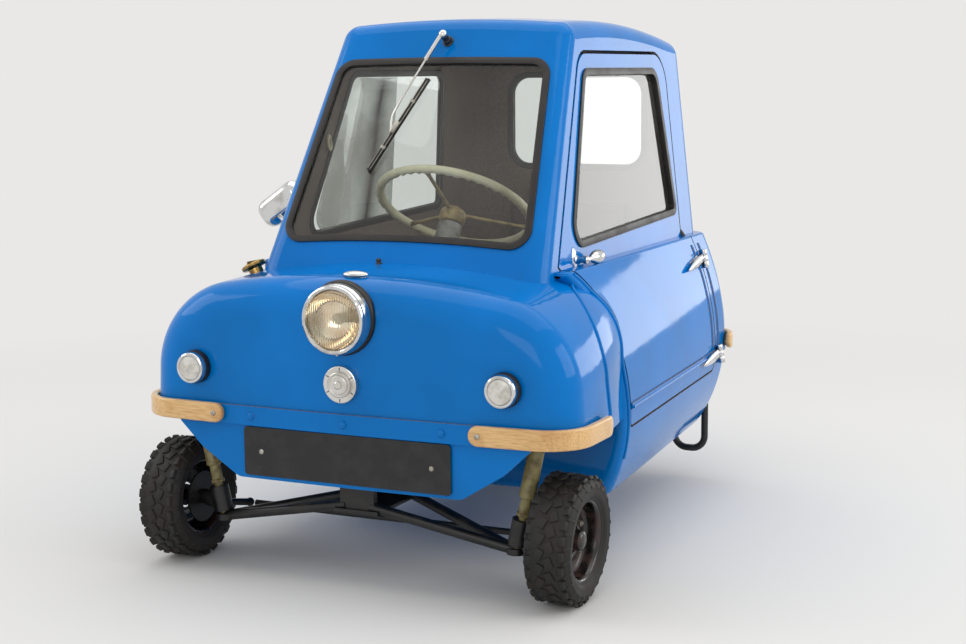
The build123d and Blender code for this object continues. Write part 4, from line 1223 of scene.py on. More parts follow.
@dataclass
class NoseFittings(Assembly):
    """Small things on the nose: crest oval, jet, side lamps, horn cover, bolts and ash strips."""

    sight_z: float = 900.0
    oval_y: float = -578.0
    oval_lift: float = 5.0
    jet_at: tuple[float, float] = (-36.0, -412.0)
    lamp_at: Point = (360.0, -662.0, 447.0)
    horn_at: Point = (0.0, -655.0, 435.0)
    # How many black slabs are laid as painted shade for the horn's slots.
    horn_slot_shades: int = 6
    first_slot: float = 30.0
    nose_y: float = -640.0
    bow_radius: float = 9000.0
    strip_bolts: Rows = ((-223.0, 350.0), (0.0, 350.0), (223.0, 350.0))
    strip_bolt_proud: float = 6.0
    strip_screw: tuple[float, float] = (308.0, 353.0)
    strip_screw_proud: float = 22.6
    plate_screw: Point = (200.0, -641.4, 275.0)
    screw_rows: Rows = ((0.0, -2.0), (6.0, -2.0), (6.0, 0.4), (4.8, 1.8), (2.6, 2.5), (0.0, 2.7))
    lamps: tuple[Turning, ...] = (
        Turning("side_lamp_bezel", (
            (25.6, 0.5), (27.0, 2.0), (29.5, 2.4), (32.0, 1.0), (33.4, -2.0), (34.0, -7.0),
            (33.6, -12.0), (30.0, -12.5), (26.0, -12.0), (25.6, 0.5)),
            48, 35.0, "chromium plate", "bright_chrome", ("side_lamp_rims",)),
        Turning("side_lamp_rubber", (
            (28.0, -11.5), (34.6, -11.5), (35.6, -14.0), (36.0, -25.0), (28.0, -25.0),
            (28.0, -11.5)),
            48, 35.0, "window rubber", "black_rubber"),
        Turning("side_lamp_lens", (
            (0.0, -8.0), (25.8, -8.0), (25.8, -0.5), (24.6, 2.0), (21.0, 3.6), (14.0, 4.8),
            (5.0, 5.6), (3.0, 7.2), (0.0, 7.6)),
            48, 40.0, "milky lamp glass", "lamp_glass", ("side_lamp_lenses",)))

    def front(self, x: float) -> float:
        """Where the bowed front stands at one place across."""
        return self.nose_y + x * x / (2 * self.bow_radius)

    def on_nose(self, nodes: dict[str, bpy.types.Object], x: float, y: float,
                lift: float) -> Place:
        """Find where a sight from above meets the nose.

        Args:
            nodes: The CAD nodes by name.
            x: Place across.
            y: Place along.
            lift: Height over the skin.

        Returns:
            The place, square to the skin.
        """
        sight = spot(x, y, self.sight_z)
        _, seat, slope, _ = nodes["upper_body"].ray_cast(sight, Vector((0, 0, -1)))
        at = seat / MM + slope * lift + Vector((0, ORIGIN_BACK, 0))
        return Place(tuple(at), tuple(slope))

    def crest(self, nodes: dict[str, bpy.types.Object]) -> None:
        """Set the bare oval on the nose's crest and the washer jet below the screen.

        Args:
            nodes: The CAD nodes by name.
        """
        oval = Bench.egg("bare_oval", (29.0, 12.0, 6.5), 16)
        foot = Bench.turned("oval_foot", ((0.0, -8.0), (20.0, -8.0), (20.0, -1.0), (16.0, 1.0),
                                          (0.0, 1.6)), 40)
        Bench.stretch(foot, (1.15, 0.42, 1.0))
        badge = Bench.smooth(Bench.join("bare_oval", [oval, foot]), 50.0)
        Bench.settle(badge, self.on_nose(nodes, 0.0, self.oval_y, self.oval_lift))
        self.fit(badge, "dull aluminium", "bright_chrome")
        jet = Turning("washer_jet", (
            (0.0, -4.0), (8.0, -4.0), (8.0, 0.6), (5.4, 2.4), (4.6, 6.0), (6.0, 7.2), (5.6, 10.4),
            (3.0, 12.4), (0.0, 12.8)), 24, 40.0, "black stove enamel", "black_enamel")
        self.turn(jet, self.on_nose(nodes, *self.jet_at, 0.0))

    def side_lamps(self) -> None:
        """Turn one side lamp and copy it to both sides."""
        x, y, z = self.lamp_at
        for turning in self.lamps:
            self.repeat(turning, [Place((side * x, y, z), (0, -1, 0)) for side in (-1, 1)])

    def horn(self) -> None:
        """Turn the bare horn cover with its stepped rings, and lay thin black slabs where its
        flange slots are, as painted shade for the openings.
        """
        place = Place(self.horn_at, (0, -1, 0))
        self.turn(Turning("horn_cover", (
            (0.0, -16.0), (38.0, -16.0), (38.6, -2.0), (38.0, 0.0), (36.4, 0.8), (27.6, 0.2),
            (27.0, 1.6), (26.4, 5.2), (24.8, 6.6), (22.6, 6.4), (21.8, 5.0), (20.4, 4.6),
            (19.2, 6.2), (17.6, 7.0), (11.0, 7.2), (9.0, 7.4), (8.2, 10.4), (5.6, 12.6),
            (0.0, 13.4)), 72, 28.0, "dull aluminium", "bright_chrome", ("horn_disc",)), place)
        # Black slabs lie on the flange as painted shade where the slots would open.
        slot_shades = []
        for number in range(self.horn_slot_shades):
            slot = Bench.slab("horn_slot_shade", (6.5, 1.8, 1.0), 0.3, 1, (32.5, 0.0, 0.75))
            angle = radians(self.first_slot + 360 / self.horn_slot_shades * number)
            slot_shades.append(Bench.carry(slot, Matrix.Rotation(angle, 4, "Z")))
        dark = Bench.settle(Bench.join("horn_slot_shades", slot_shades), place)
        self.fit(dark, "black stove enamel", "black_enamel")

    def bolts(self) -> None:
        """Copy painted dome bolts along the strip and bright ones on the ash and the plate."""
        self.repeat(Turning("strip_bolt", (
            (0.0, -3.0), (8.6, -3.0), (8.8, 0.0), (8.0, 2.2), (5.6, 4.4), (2.6, 5.4), (0.0, 5.6)),
            24, 60.0, "moulded gelcoat", "blue_gelcoat"),
            [Place((x, self.front(x) - self.strip_bolt_proud, z), (0, -1, 0))
             for x, z in self.strip_bolts])
        strip_x, strip_z = self.strip_screw
        strip_at = (strip_x, self.front(strip_x) - self.strip_screw_proud, strip_z)
        for name, (x, y, z) in (("bumperette_screw", strip_at), ("plate_screw", self.plate_screw)):
            self.repeat(Turning(name, self.screw_rows, 24, 60.0, "dull zinc", "cast_alloy"),
                        [Place((side * x, y, z), (0, -1, 0)) for side in (-1, 1)])

    def build(self, nodes: dict[str, bpy.types.Object]) -> None:
        """Make every fitting on the nose, and round the ash strips at both ends of the car.

        Args:
            nodes: The CAD nodes by name.
        """
        self.crest(nodes)
        self.side_lamps()
        self.horn()
        self.bolts()
        for end in ("front", "rear"):
            node = nodes[f"{end}_bumperettes"]
            strip = Bench.from_node(node, f"{end}_wooden_strips", round_mm=6.0, segments=4,
                                    flat=2.0, sharp=50.0)
            self.fit(strip, "varnished ash", "aged_timber", node.name)


@dataclass
class Seals(Assembly):
    """Rubber glazing strips with rounded lips round every window."""

    def build(self, nodes: dict[str, bpy.types.Object]) -> None:
        """Round the lips of each strip.

        Args:
            nodes: The CAD nodes by name.
        """
        for name in ("windscreen_seal", "side_window_seal", "rear_window_seal", "door_seal"):
            body = Body.DOOR if name == "door_seal" else Body.CHASSIS
            strip = Bench.from_node(nodes[name], name.replace("seal", "rubber"), round_mm=3.2,
                                    sharp=45.0)
            self.fit(strip, "window rubber", "black_rubber", name, body=body)


@dataclass
class MouldedBeads(Assembly):
    """Rounded flanges moulded into the sides: behind the nose, round the door and along its foot.

    Each line is a row of y and z across which a sideways sight finds the skin. The opening gives
    the radius of each of its corners too.
    """

    nodes: dict[str, bpy.types.Object]
    radius: float = 4.2
    slim: float = 3.2
    slim_corners: int = 3
    step: float = 18.0
    sight_x: float = 800.0
    nose_line: Rows = (
        (-322.0, 618.0), (-345.0, 603.0), (-368.0, 583.0), (-385.0, 563.0), (-397.0, 543.0),
        (-408.0, 520.0), (-413.0, 495.0), (-413.0, 465.0), (-409.0, 430.0), (-402.0, 395.0),
        (-396.0, 362.0))
    flange_line: Rows = (
        (-247.0, 236.0), (-246.0, 300.0), (-246.0, 400.0), (-246.0, 470.0), (-247.0, 508.0),
        (-251.0, 540.0), (-260.0, 572.0), (-275.0, 600.0), (-296.0, 625.0), (-316.0, 640.0))
    foot_line: Rows = ((-222.0, 346.0), (60.0, 346.0), (408.0, 347.0))
    rear_door_line: Rows = ((488.0, 366.0), (488.0, 560.0), (486.0, 625.0))
    rear_body_line: Rows = ((545.0, 320.0), (545.0, 560.0), (542.0, 625.0))
    opening: tuple[Point, ...] = (
        (-236.0, 300.0, 18.0), (-236.0, 599.0, 165.0), (-320.0, 652.0, 3.0), (-75.0, 1110.0, 70.0),
        (515.0, 1110.0, 85.0), (515.0, 300.0, 18.0))
    tight: float = 10.0
    tight_parts: int = 2
    wide_parts: int = 7
    tube_step: float = 60.0
    tube_radius: float = 7.5
    tube_out: float = 3.0
    tube_in: float = 15.0

    def on_skin(self, carriers: tuple[str, ...], side: int, y: float, z: float) -> Point:
        """Find the point where a sideways sight meets the outermost of the carriers.

        Args:
            carriers: CAD nodes that may be met.
            side: 1 for the door's side and -1 for the other.
            y: Place along.
            z: Height.

        Returns:
            The point in the car's millimetres.
        """
        reach = 0.0
        sight = spot(side * self.sight_x, y, z)
        for name in carriers:
            hit, seat, _, _ = self.nodes[name].ray_cast(sight, Vector((-side, 0, 0)))
            if hit:
                reach = max(reach, abs(seat.x) / MM)
        return (side * reach, y, z)

    @staticmethod
    def spaced(line: Rows, step: float) -> list[tuple[float, float]]:
        """Add points along a line.

        Args:
            line: Its corners.
            step: About how far apart the points come to stand.

        Returns:
            The points with the corners.
        """
        points = []
        for (y0, z0), (y1, z1) in zip(line, line[1:]):
            parts = max(1, round(sqrt((y1 - y0) ** 2 + (z1 - z0) ** 2) / step))
            points += [(y0 + (y1 - y0) * k / parts, z0 + (z1 - z0) * k / parts)
                       for k in range(parts)]
        return [*points, line[-1]]

    def bead(self, name: str, carriers: tuple[str, ...], side: int,
             line: Rows) -> bpy.types.Object:
        """Lay one bead along a line of the skin.

        Args:
            name: The bead's name.
            carriers: CAD nodes that it lies on.
            side: 1 for the door's side and -1 for the other.
            line: Its corners; a line of three is a slim bead.

        Returns:
            The bead, half sunk in the skin.
        """
        thick = self.radius if len(line) > self.slim_corners else self.slim
        skin = [self.on_skin(carriers, side, y, z) for y, z in self.spaced(line, self.step)]
        return Bench.smooth(Bench.bar(name, skin, thick, True), 60.0)

    def seal_and_gap_shade(self) -> bpy.types.Object:
        """Run a black rubber tube round the inside of the door's opening, behind the gap: a seal,
        and painted shade that makes the gap show as a dark line.

        Returns:
            The tube.
        """
        rows = []
        count = len(self.opening)
        for number, (y, z, radius) in enumerate(self.opening):
            corner = Vector((y, z))
            before = (Vector(self.opening[number - 1][:2]) - corner).normalized()
            after = (Vector(self.opening[(number + 1) % count][:2]) - corner).normalized()
            half = before.angle(after) / 2
            run = radius / tan(half)
            middle = corner + (before + after).normalized() * (radius / sin(half))
            first = corner + before * run - middle
            last = corner + after * run - middle
            parts = self.tight_parts if radius < self.tight else self.wide_parts
            for part in range(parts + 1):
                arm = first.lerp(last, part / parts).normalized() * (radius + self.tube_out)
                rows.append(tuple(middle + arm))
        inside = []
        for y, z in self.spaced((*rows, rows[0]), self.tube_step):
            x, y, z = self.on_skin(("upper_body", "lower_body"), 1, y, z)
            inside.append((x - self.tube_in, y, z))
        return Bench.smooth(Bench.bar("door_seal_and_gap_shade", inside, self.tube_radius), 60.0)

    def build(self) -> None:
        """Lay the black tube behind the door gap, a seal and painted shade, and every bead."""
        # The black tube behind the door gap is partly a seal and partly painted shade for the gap.
        self.fit(self.seal_and_gap_shade(), "window rubber", "black_rubber")
        body = ("upper_body", "lower_body")
        pair = [self.bead(name, body, side, line)
                for name, line in (("nose_bead", self.nose_line), ("flange_bead", self.flange_line))
                for side in (-1, 1)]
        pair.append(self.bead("rear_body_bead", body, 1, self.rear_body_line))
        self.fit(Bench.join("moulded_body_beads", pair), "moulded gelcoat", "blue_gelcoat")
        leaf = [self.bead("door_bead", ("door_shell",), 1, line)
                for line in (self.foot_line, self.rear_door_line)]
        self.fit(Bench.join("moulded_door_beads", leaf), "moulded gelcoat", "blue_gelcoat",
                 body=Body.DOOR)


@dataclass
class CabFittings(Assembly):
    """Things on the cab: wiper, mirror, filler cap, window catch, handle, hinges and tail lamps.

    The wiper's places are across and up on the windscreen, and the height above its glass.
    """

    screen_foot: tuple[float, float] = (-379.2, 688.0)
    screen_slope: float = 0.552
    wiper_root: Point = (2.0, 1131.0, 0.0)
    arm_head: Point = (1.0, 1133.0, 31.0)
    arm_line: tuple[Point, ...] = ((-1.0, 1134.0, 31.0), (-30.0, 1072.0, 30.0),
                                   (-71.0, 984.0, 27.0), (-88.0, 950.0, 19.0),
                                   (-82.0, 928.0, 12.0))
    sleeve_line: tuple[Point, ...] = ((-3.0, 1130.0, 31.0), (-28.0, 1077.0, 30.0))
    blade_ends: Rows = ((-22.0, 1047.0), (-119.0, 842.0))
    blade_lift: float = 4.2
    mirror_place: Place = Place((-394.0, -212.0, 762.0), (0.2, -1.0, 0.12), (0.788, 0.157, 0.616))
    mirror_cut: float = -6.0
    mirror_lip: float = 2.4
    mirror_hollow: float = 2.6
    mirror_line: tuple[Point, ...] = ((-331.0, -275.0, 722.0), (-352.0, -268.0, 724.0),
                                      (-380.0, -244.0, 730.0), (-404.0, -222.0, 741.0))
    mirror_foot: Place = Place((-334.4, -275.0, 722.0), (-1, 0, 0.11), (0, 1, 0))
    filler_at: Point = (-369.0, -372.0, 616.0)
    filler_tilt: float = 28.0
    handle_at: Point = (341.13, -222.0, 660.0)
    lever_out: float = 26.0
    wall_lean: Point = (1, 0, 0.11)
    spears: tuple[tuple[Point, Point], ...] = (
        ((400.0, 508.0, 589.0), (411.0, 370.0, 574.0)),
        ((446.0, 508.0, 346.0), (453.0, 370.0, 338.0)))
    pane_inset: float = 7.0
    pane_end: float = 186.0
    pane_share: Point = (0.6, 0.965, 0.965)
    ring_at: Point = (-300.0, -153.0, 903.0)
    tail_at: Point = (330.0, 665.0, 470.0)
    tail_lamps: tuple[Turning, ...] = (
        Turning("tail_lamp", (
            (0.0, -4.0), (32.0, -4.0), (32.0, 8.0), (31.0, 14.0), (27.0, 21.0), (20.0, 26.0),
            (10.0, 28.6), (0.0, 29.4)), 48, 40.0, "red acrylic", "red_lens", ("rear_lamps",)),
        Turning("tail_lamp_rim", (
            (30.0, -2.0), (34.6, -2.0), (34.6, 3.0), (33.0, 4.6), (31.6, 4.6), (30.0, 3.0),
            (30.0, -2.0)), 48, 40.0, "chromium plate", "bright_chrome"))

    def on_screen(self, x: float, z: float, lift: float) -> Point:
        """Find a point over the windscreen.

        Args:
            x: Place across.
            z: Height at the glass.
            lift: Distance from the glass.

        Returns:
            The point in the car's millimetres.
        """
        foot_y, foot_z = self.screen_foot
        length = sqrt(1 + self.screen_slope ** 2)
        y = foot_y + (z - foot_z) * self.screen_slope
        return (x, y - lift / length, z + lift * self.screen_slope / length)

    def wiper(self) -> None:
        """Make the wiper: spindle, bright arm head and rod, and a black blade in its frame."""
        out = (0.0, -1.0, self.screen_slope)
        self.turn(Turning("wiper_spindle", (
            (0.0, -8.0), (13.0, -8.0), (13.0, 2.0), (10.5, 3.4), (9.6, 12.0), (7.6, 13.6),
            (7.2, 27.0), (0.0, 27.4)), 32, 40.0, "black stove enamel", "black_enamel", ("wiper",)),
            Place(self.on_screen(*self.wiper_root), out))
        rod = Bench.bar("wiper_arm", [self.on_screen(*at) for at in self.arm_line], 2.4, True)
        sleeve = Bench.bar("wiper_arm_sleeve", [self.on_screen(*at) for at in self.sleeve_line],
                           5.0)
        head = Bench.egg("wiper_arm_head", (9.5, 9.5, 8.0), 12)
        Bench.settle(head, Place(self.on_screen(*self.arm_head), out))
        arm = Bench.join("wiper_arm", [rod, sleeve, head])
        self.fit(Bench.smooth(arm, 50.0), "dull aluminium", "bright_chrome")
        top, foot = self.blade_ends
        middle = tuple((a + b) / 2 for a, b in zip(top, foot))
        along = Vector(self.on_screen(*top, 0)) - Vector(self.on_screen(*foot, 0))
        place = Place(self.on_screen(*middle, self.blade_lift), out, tuple(along))
        length = along.length
        rubber = [Bench.slab("wiper_rubber", (length, 4.4, 8.4), 0.8, 1, (0, 0, -1.0)),
                  Bench.slab("wiper_flank", (length * 0.98, 11.0, 5.0), 1.2, 2, (0, 0, 4.6))]
        black = Bench.smooth(Bench.join("wiper_rubber", rubber), 40.0)
        self.fit(Bench.settle(black, place), "window rubber", "black_rubber")
        frame = [Bench.slab("wiper_rib", (length * 0.94, 1.5, 1.6), 0.4, 1, (0, side * 3.6, 7.6))
                 for side in (-1, 1)]
        frame.append(Bench.slab("wiper_saddle", (30.0, 12.0, 6.0), 1.6, 2, (-10, 1.0, 9.0)))
        frame += [Bench.slab("wiper_clip", (7.0, 13.0, 4.0), 1.0, 2, (x, 0.0, 6.8))
                  for x in (-62.0, 62.0)]
        bright = Bench.smooth(Bench.join("wiper_blade_frame", frame), 40.0)
        self.fit(Bench.settle(bright, place), "dull zinc", "cast_alloy")

    def mirror(self) -> None:
        """Make the oblong mirror: chromium back, lip and glass, neck with a swivel, and foot."""
        back = Bench.slab("mirror_back", (122.0, 68.0, 58.0), 25.0, 7)
        Bench.edit(back)
        bpy.ops.mesh.bisect(plane_co=(0, 0, self.mirror_cut * MM), plane_no=(0, 0, -1),
                            clear_outer=True, use_fill=True)
        bpy.ops.mesh.inset(thickness=self.mirror_lip * MM)
        bpy.ops.transform.translate(value=(0, 0, self.mirror_hollow * MM))
        Bench.smooth(Bench.close(back), 40.0)
        self.fit(Bench.settle(back, self.mirror_place), "chromium plate", "bright_chrome", "mirror")
        glass = Bench.slab("mirror_glass", (112.0, 54.0, 2.0), 0.9, 2, (0, 0, -4.4))
        Bench.smooth(glass, 40.0)
        self.fit(Bench.settle(glass, self.mirror_place), "aged silvering", "bright_chrome")
        arm = Bench.bar("mirror_arm", self.mirror_line, 7.0, True)
        ball = Bench.egg("mirror_swivel", (12.0, 12.0, 12.0), 12)
        Bench.settle(ball, Place(self.mirror_line[-1]))
        foot = Bench.turned("mirror_foot", ((0.0, -2.0), (17.0, -2.0), (17.0, 2.0), (13.0, 5.0),
                                            (8.0, 7.0), (0.0, 7.2)), 32)
        Bench.settle(foot, self.mirror_foot)
        neck = Bench.smooth(Bench.join("mirror_arm", [arm, ball, foot]), 50.0)
        self.fit(neck, "chromium plate", "bright_chrome")

    def filler(self) -> None:
        """Turn the filler neck and its flat cap, with a grip rib across it."""
        tilt = radians(self.filler_tilt)
        cap = Bench.turned("filler_cap", (
            (0.0, -10.0), (16.0, -10.0), (16.0, 12.0), (18.0, 14.0), (27.0, 15.0), (28.6, 17.0),
            (28.6, 22.0), (27.0, 24.0), (22.0, 25.0), (20.0, 26.6), (10.0, 27.6), (0.0, 28.0)), 48)
        rib = Bench.slab("filler_rib", (38.0, 6.0, 6.0), 2.2, 2, (0.0, 0.0, 29.0))
        piece = Bench.smooth(Bench.join("filler_cap", [cap, rib]), 35.0)
        Bench.settle(piece, Place(self.filler_at, (-sin(tilt), 0, cos(tilt)), (0, 1, 0)))
        self.fit(piece, "lacquered brass", "bright_chrome", "fuel_cap")

    def handle(self) -> None:
        """Make the door handle: oval plate, spindle, lever and egg-shaped knob."""
        x, y, z = self.handle_at
        plate = Bench.turned("handle_plate", ((0.0, -3.0), (10.0, -3.0), (10.0, 1.2), (8.2, 3.4),
                                              (5.0, 4.4), (0.0, 4.6)), 48)
        Bench.stretch(plate, (1.0, 2.65, 1.0))
        Bench.settle(plate, Place(self.handle_at, self.wall_lean, (0, 1, 0)))
        spindle = Bench.turned("handle_spindle", (
            (0.0, 2.0), (9.5, 2.0), (9.5, 6.0), (7.0, 8.0), (6.6, 22.0), (8.4, 24.0), (8.4, 31.0),
            (6.0, 33.0), (0.0, 33.4)), 32)
        Bench.settle(spindle, Place(self.handle_at, (1, 0, 0), (0, 1, 0)))
        lever = Bench.turned("handle_lever", (
            (0.0, 0.0), (6.2, 2.0), (6.4, 12.0), (5.2, 26.0), (5.4, 36.0), (8.0, 38.5), (8.0, 41.0),
            (7.0, 42.5), (10.6, 49.0), (13.8, 58.0), (15.2, 69.0), (14.8, 81.0), (12.4, 92.0),
            (7.4, 100.0), (0.0, 103.0)), 40)
        Bench.settle(lever, Place((x + self.lever_out, y, z), (0, 1, 0), (1, 0, 0)))
        piece = Bench.smooth(Bench.join("door_pull_handle", [plate, spindle, lever]), 45.0)
        self.fit(piece, "chromium plate", "bright_chrome", "door_handle", body=Body.DOOR)

    def hinges(self, nodes: dict[str, bpy.types.Object]) -> None:
        """Round the hinge straps and brackets, and lay a pointed spear along each strap.

        Args:
            nodes: The CAD nodes by name.
        """
        for name, body in (("hinge_straps", Body.DOOR), ("hinge_brackets", Body.CHASSIS)):
            piece = Bench.from_node(nodes[name], f"door_{name}", round_mm=1.4, segments=2,
                                    sharp=30.0)
            self.fit(piece, "chromium plate", "bright_chrome", name, body=body)
        spears = []
        for root, tip in self.spears:
            spear = Bench.turned("hinge_spear", (
                (0.0, -2.0), (11.0, -1.0), (12.6, 6.0), (12.8, 30.0), (12.0, 60.0), (9.0, 95.0),
                (4.6, 128.0), (1.6, 140.0), (0.0, 142.0)), 32)
            Bench.smooth(Bench.stretch(spear, (0.5, 1.0, 1.0)), 50.0)
            ahead = Vector(tip) - Vector(root)
            spears.append(Bench.settle(spear, Place(root, tuple(ahead), (1, 0, 0))))
        self.fit(Bench.join("door_hinge_spears", spears), "chromium plate", "bright_chrome",
                 body=Body.DOOR)

    def catch(self, nodes: dict[str, bpy.types.Object]) -> None:
        """Cut the hazy sliding pane out of the right side window, with its long finger ring.

        Args:
            nodes: The CAD nodes by name.
        """
        pane = Bench.from_node(nodes["side_window_glass"], "sliding_pane")
        Bench.edit(pane)
        bpy.ops.transform.translate(value=(self.pane_inset * MM, 0.0, 0.0))
        bpy.ops.mesh.bisect(plane_co=spot(0.0, self.pane_end, 0.0), plane_no=(0, 1, 0),
                            clear_outer=True, use_fill=True)
        bpy.ops.mesh.select_all(action="SELECT")
        bpy.ops.transform.resize(value=self.pane_share)
        self.fit(Bench.close(pane), "hazed acrylic", "clear_glass")
        ring = Bench.turned("pane_finger_ring", ((5.0, -2.5), (8.0, -2.5), (9.0, 0.0), (8.0, 2.5),
                                                 (5.0, 2.5), (5.0, -2.5)), 32)
        Bench.smooth(Bench.stretch(ring, (1.0, 2.3, 1.0)), 40.0)
        Bench.settle(ring, Place(self.ring_at, self.wall_lean, (0, 1, 0)))
        self.fit(ring, "cream moulded plastic", "cream_plastic")

    def tail(self) -> None:
        """Turn the tail lamps' lenses and rims."""
        x, y, z = self.tail_at
        for turning in self.tail_lamps:
            self.repeat(turning, [Place((side * x, y, z), (0, 1, 0)) for side in (-1, 1)])

    def build(self, nodes: dict[str, bpy.types.Object]) -> None:
        """Make every fitting.

        Args:
            nodes: The CAD nodes by name.
        """
        self.wiper()
        self.mirror()
        self.filler()
        self.handle()
        self.hinges(nodes)
        self.catch(nodes)
        self.tail()


@dataclass
class SteeringWheel(Assembly):
    """Cream wheel with finger grips below its rim, three thin spokes and a cast hub."""

    hub: Point = (4.0, -114.0, 755.0)
    rake: float = 33.0
    rim_radius: float = 177.0
    tube: float = 10.4
    grips: int = 48
    grip_share: float = 0.6
    grip_top: float = 3.0
    grip_depth: float = 2.6
    spokes: int = 3
    spoke_drop: float = 16.0
    spoke_reach: float = 178.0

    def place(self) -> Place:
        """The column's axis points up and back."""
        rake = radians(self.rake)
        return Place(self.hub, (0, sin(rake), cos(rake)))

    def rim(self) -> bpy.types.Object:
        """Press the finger grips into the underside of the rim.

        Returns:
            The rim, its axis on Z.
        """
        Bench.clear()
        bpy.ops.mesh.primitive_torus_add(major_segments=144, minor_segments=16,
                                         major_radius=self.rim_radius * MM,
                                         minor_radius=self.tube * MM)
        rim = bpy.context.object
        Bench.edit(rim)
        bpy.ops.mesh.select_all(action="DESELECT")
        Bench.close(rim, "steering_rim")
        for vertex in rim.data.vertices:
            turn = atan2(vertex.co.y, vertex.co.x) / (2 * pi) * self.grips
            vertex.select = (turn % 1.0) > self.grip_share and vertex.co.z < self.grip_top * MM
        bpy.ops.object.mode_set(mode="EDIT")
        bpy.ops.transform.shrink_fatten(value=-self.grip_depth * MM)
        return Bench.smooth(Bench.close(rim), 60.0)

    def build(self) -> None:
        """Make the rim, spokes and hub."""
        self.fit(Bench.settle(self.rim(), self.place()), "cream moulded plastic", "cream_plastic",
                 "steering_wheel", body=Body.STEERING)
        pieces = []
        for number in range(self.spokes):
            spoke = Bench.turned("spoke", ((0.0, 20.0), (5.0, 20.0), (4.2, 60.0), (4.2, 150.0),
                                           (6.0, 166.0), (6.4, 174.0), (0.0, 174.0)), 20)
            angle = radians(-90 + 360 / self.spokes * number)
            rise = pi / 2 - self.spoke_drop / self.spoke_reach
            pieces.append(Bench.carry(spoke, Matrix.Rotation(angle, 4, "Z")
                                      @ Matrix.Translation((0, 0, -self.spoke_drop * MM))
                                      @ Matrix.Rotation(rise, 4, "Y")))
        pieces.append(Bench.turned("boss", (
            (0.0, -70.0), (9.0, -70.0), (9.0, -42.0), (26.0, -40.0), (30.0, -34.0), (31.0, -22.0),
            (29.0, -12.0), (25.0, -8.0), (18.0, -6.0), (17.0, -3.0), (14.0, 0.0), (8.0, 2.4),
            (0.0, 3.2)), 48))
        piece = Bench.smooth(Bench.join("steering_spokes_and_hub", pieces), 45.0)
        self.fit(Bench.settle(piece, self.place()), "tan cast hub", "cream_plastic",
                 body=Body.STEERING)


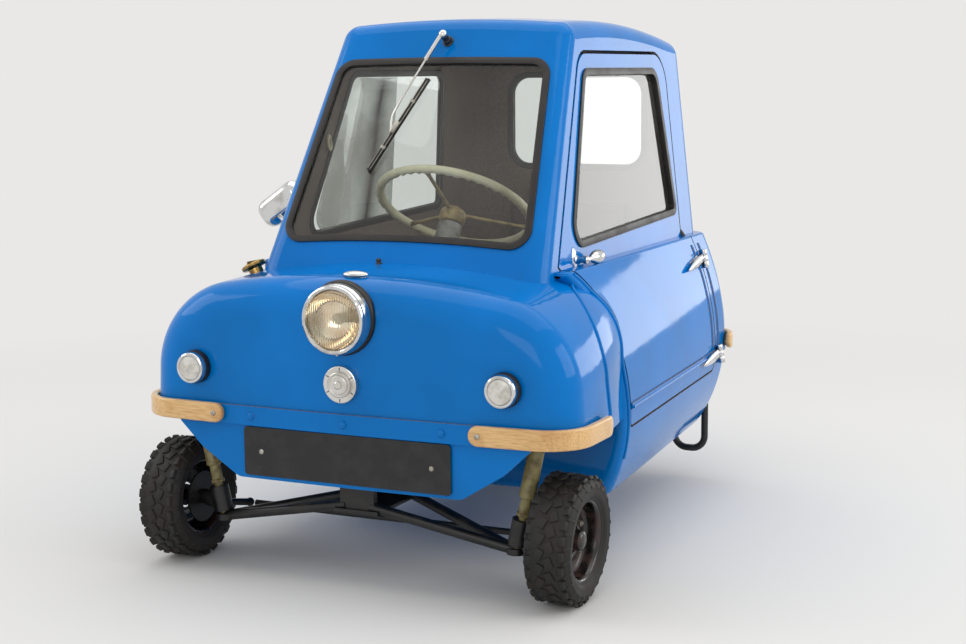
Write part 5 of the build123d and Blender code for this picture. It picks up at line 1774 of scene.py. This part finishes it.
@dataclass
class Seat(Assembly):
    """Driver's seat: a sprung cushion and back, crowned like stuffed leathercloth.

    Each pad has its name, the CAD solid that it is shaped from, and how far a point may move.
    """

    voxel_mm: float = 7.0
    shrink: Point = (0.965, 0.965, 0.90)
    pressure: float = 4.0
    frames: int = 20
    pads: tuple[tuple[str, str, float], ...] = (
        ("sprung_cushion", "seat_cushion", 9.0), ("sprung_back", "seat_back", 8.0))

    def swell(self, pad: bpy.types.Object, cap: float) -> None:
        """Blow up a pad as cloth.

        Args:
            pad: The pad.
            cap: How far a point may move, in millimetres.
        """
        before = [v.co.copy() for v in pad.data.vertices]
        Bench.hold(pad)
        cloth = pad.modifiers.new("cloth", "CLOTH")
        cloth.settings.use_pressure = True
        cloth.settings.uniform_pressure_force = self.pressure
        cloth.settings.effector_weights.gravity = 0.0
        for frame in range(1, self.frames + 1):
            bpy.context.scene.frame_set(frame)
        bpy.ops.object.modifier_apply(modifier=cloth.name)
        bpy.context.scene.frame_set(1)
        limit = cap * MM
        for vertex, start in zip(pad.data.vertices, before):
            move = vertex.co - start
            if move.length > limit:
                vertex.co = start + move * (limit / move.length)

    def pad(self, name: str, node: bpy.types.Object, cap: float) -> bpy.types.Object:
        """Make a soft pad from a slightly smaller copy of a CAD solid.

        Args:
            name: The pad's name.
            node: The CAD solid.
            cap: How far a point may move, in millimetres.

        Returns:
            The soft pad.
        """
        pad = Bench.outward(Bench.link(name, node.data.copy()))
        Bench.apply(pad, "REMESH", mode="VOXEL", voxel_size=self.voxel_mm * MM)
        middle = sum((v.co for v in pad.data.vertices), Vector()) / len(pad.data.vertices)
        pad.data.transform(Matrix.Translation(middle) @ Matrix.Diagonal((*self.shrink, 1.0))
                           @ Matrix.Translation(-middle))
        self.swell(pad, cap)
        Bench.apply(pad, "SUBSURF", levels=1, render_levels=1)
        return Bench.smooth(pad, 60.0)

    def build(self, nodes: dict[str, bpy.types.Object]) -> None:
        """Make the cushion and the back.

        Args:
            nodes: The CAD nodes by name.
        """
        for name, node, cap in self.pads:
            pad = self.pad(name, nodes[node], cap)
            self.fit(pad, "leathercloth", "seat_vinyl", node)


@dataclass
class Undercarriage(Assembly):
    """What shows below the nose: telescopic struts and the shelves that carry their tops."""

    foot: Point = (362.0, -560.0, 160.0)
    lean: float = 12.0
    shelf_at: Point = (316.5, -560.0, 346.0)

    def build(self) -> None:
        """Turn one strut and shape one shelf for each side."""
        lean = radians(self.lean)
        legs = []
        for side in (-1, 1):
            leg = Bench.turned("strut", (
                (0.0, -64.0), (8.4, -64.0), (9.0, -62.0), (9.0, 16.0), (14.0, 16.0), (14.6, 18.0),
                (14.6, 22.0), (12.4, 24.0), (12.0, 54.0), (14.0, 56.0), (17.6, 58.0), (17.8, 62.0),
                (17.0, 64.0), (17.0, 188.0), (0.0, 188.0)), 40)
            x, y, z = self.foot
            upward = (side * sin(lean), 0, cos(lean))
            legs.append(Bench.settle(leg, Place((side * x, y, z), upward)))
            x, y, z = self.shelf_at
            shelf = Bench.slab("strut_shelf", (232.0, 64.0, 8.0), 1.2, 2)
            legs.append(Bench.settle(shelf, Place((side * x, y, z))))
        piece = Bench.smooth(Bench.join("telescopic_struts", legs), 40.0)
        self.fit(piece, "olive enamel", "olive_enamel", "front_struts")


def main() -> None:
    """Build the studio and the dressed car."""
    logging.basicConfig(level=logging.INFO, format="%(message)s")
    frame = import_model()
    bpy.ops.object.select_all(action="DESELECT")
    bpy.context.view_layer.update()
    Studio().build()
    finishes = Finishes()
    finishes.build()
    nodes = frame["nodes"]
    finishes.dress_nodes(nodes)
    Wheels(finishes.made).build()
    Headlamp(finishes.made).build()
    NoseFittings(finishes.made).build(nodes)
    Seals(finishes.made).build(nodes)
    MouldedBeads(finishes.made, nodes).build()
    CabFittings(finishes.made).build(nodes)
    SteeringWheel(finishes.made).build()
    Seat(finishes.made).build(nodes)
    Undercarriage(finishes.made).build()


if __name__ == "__main__":
    main()
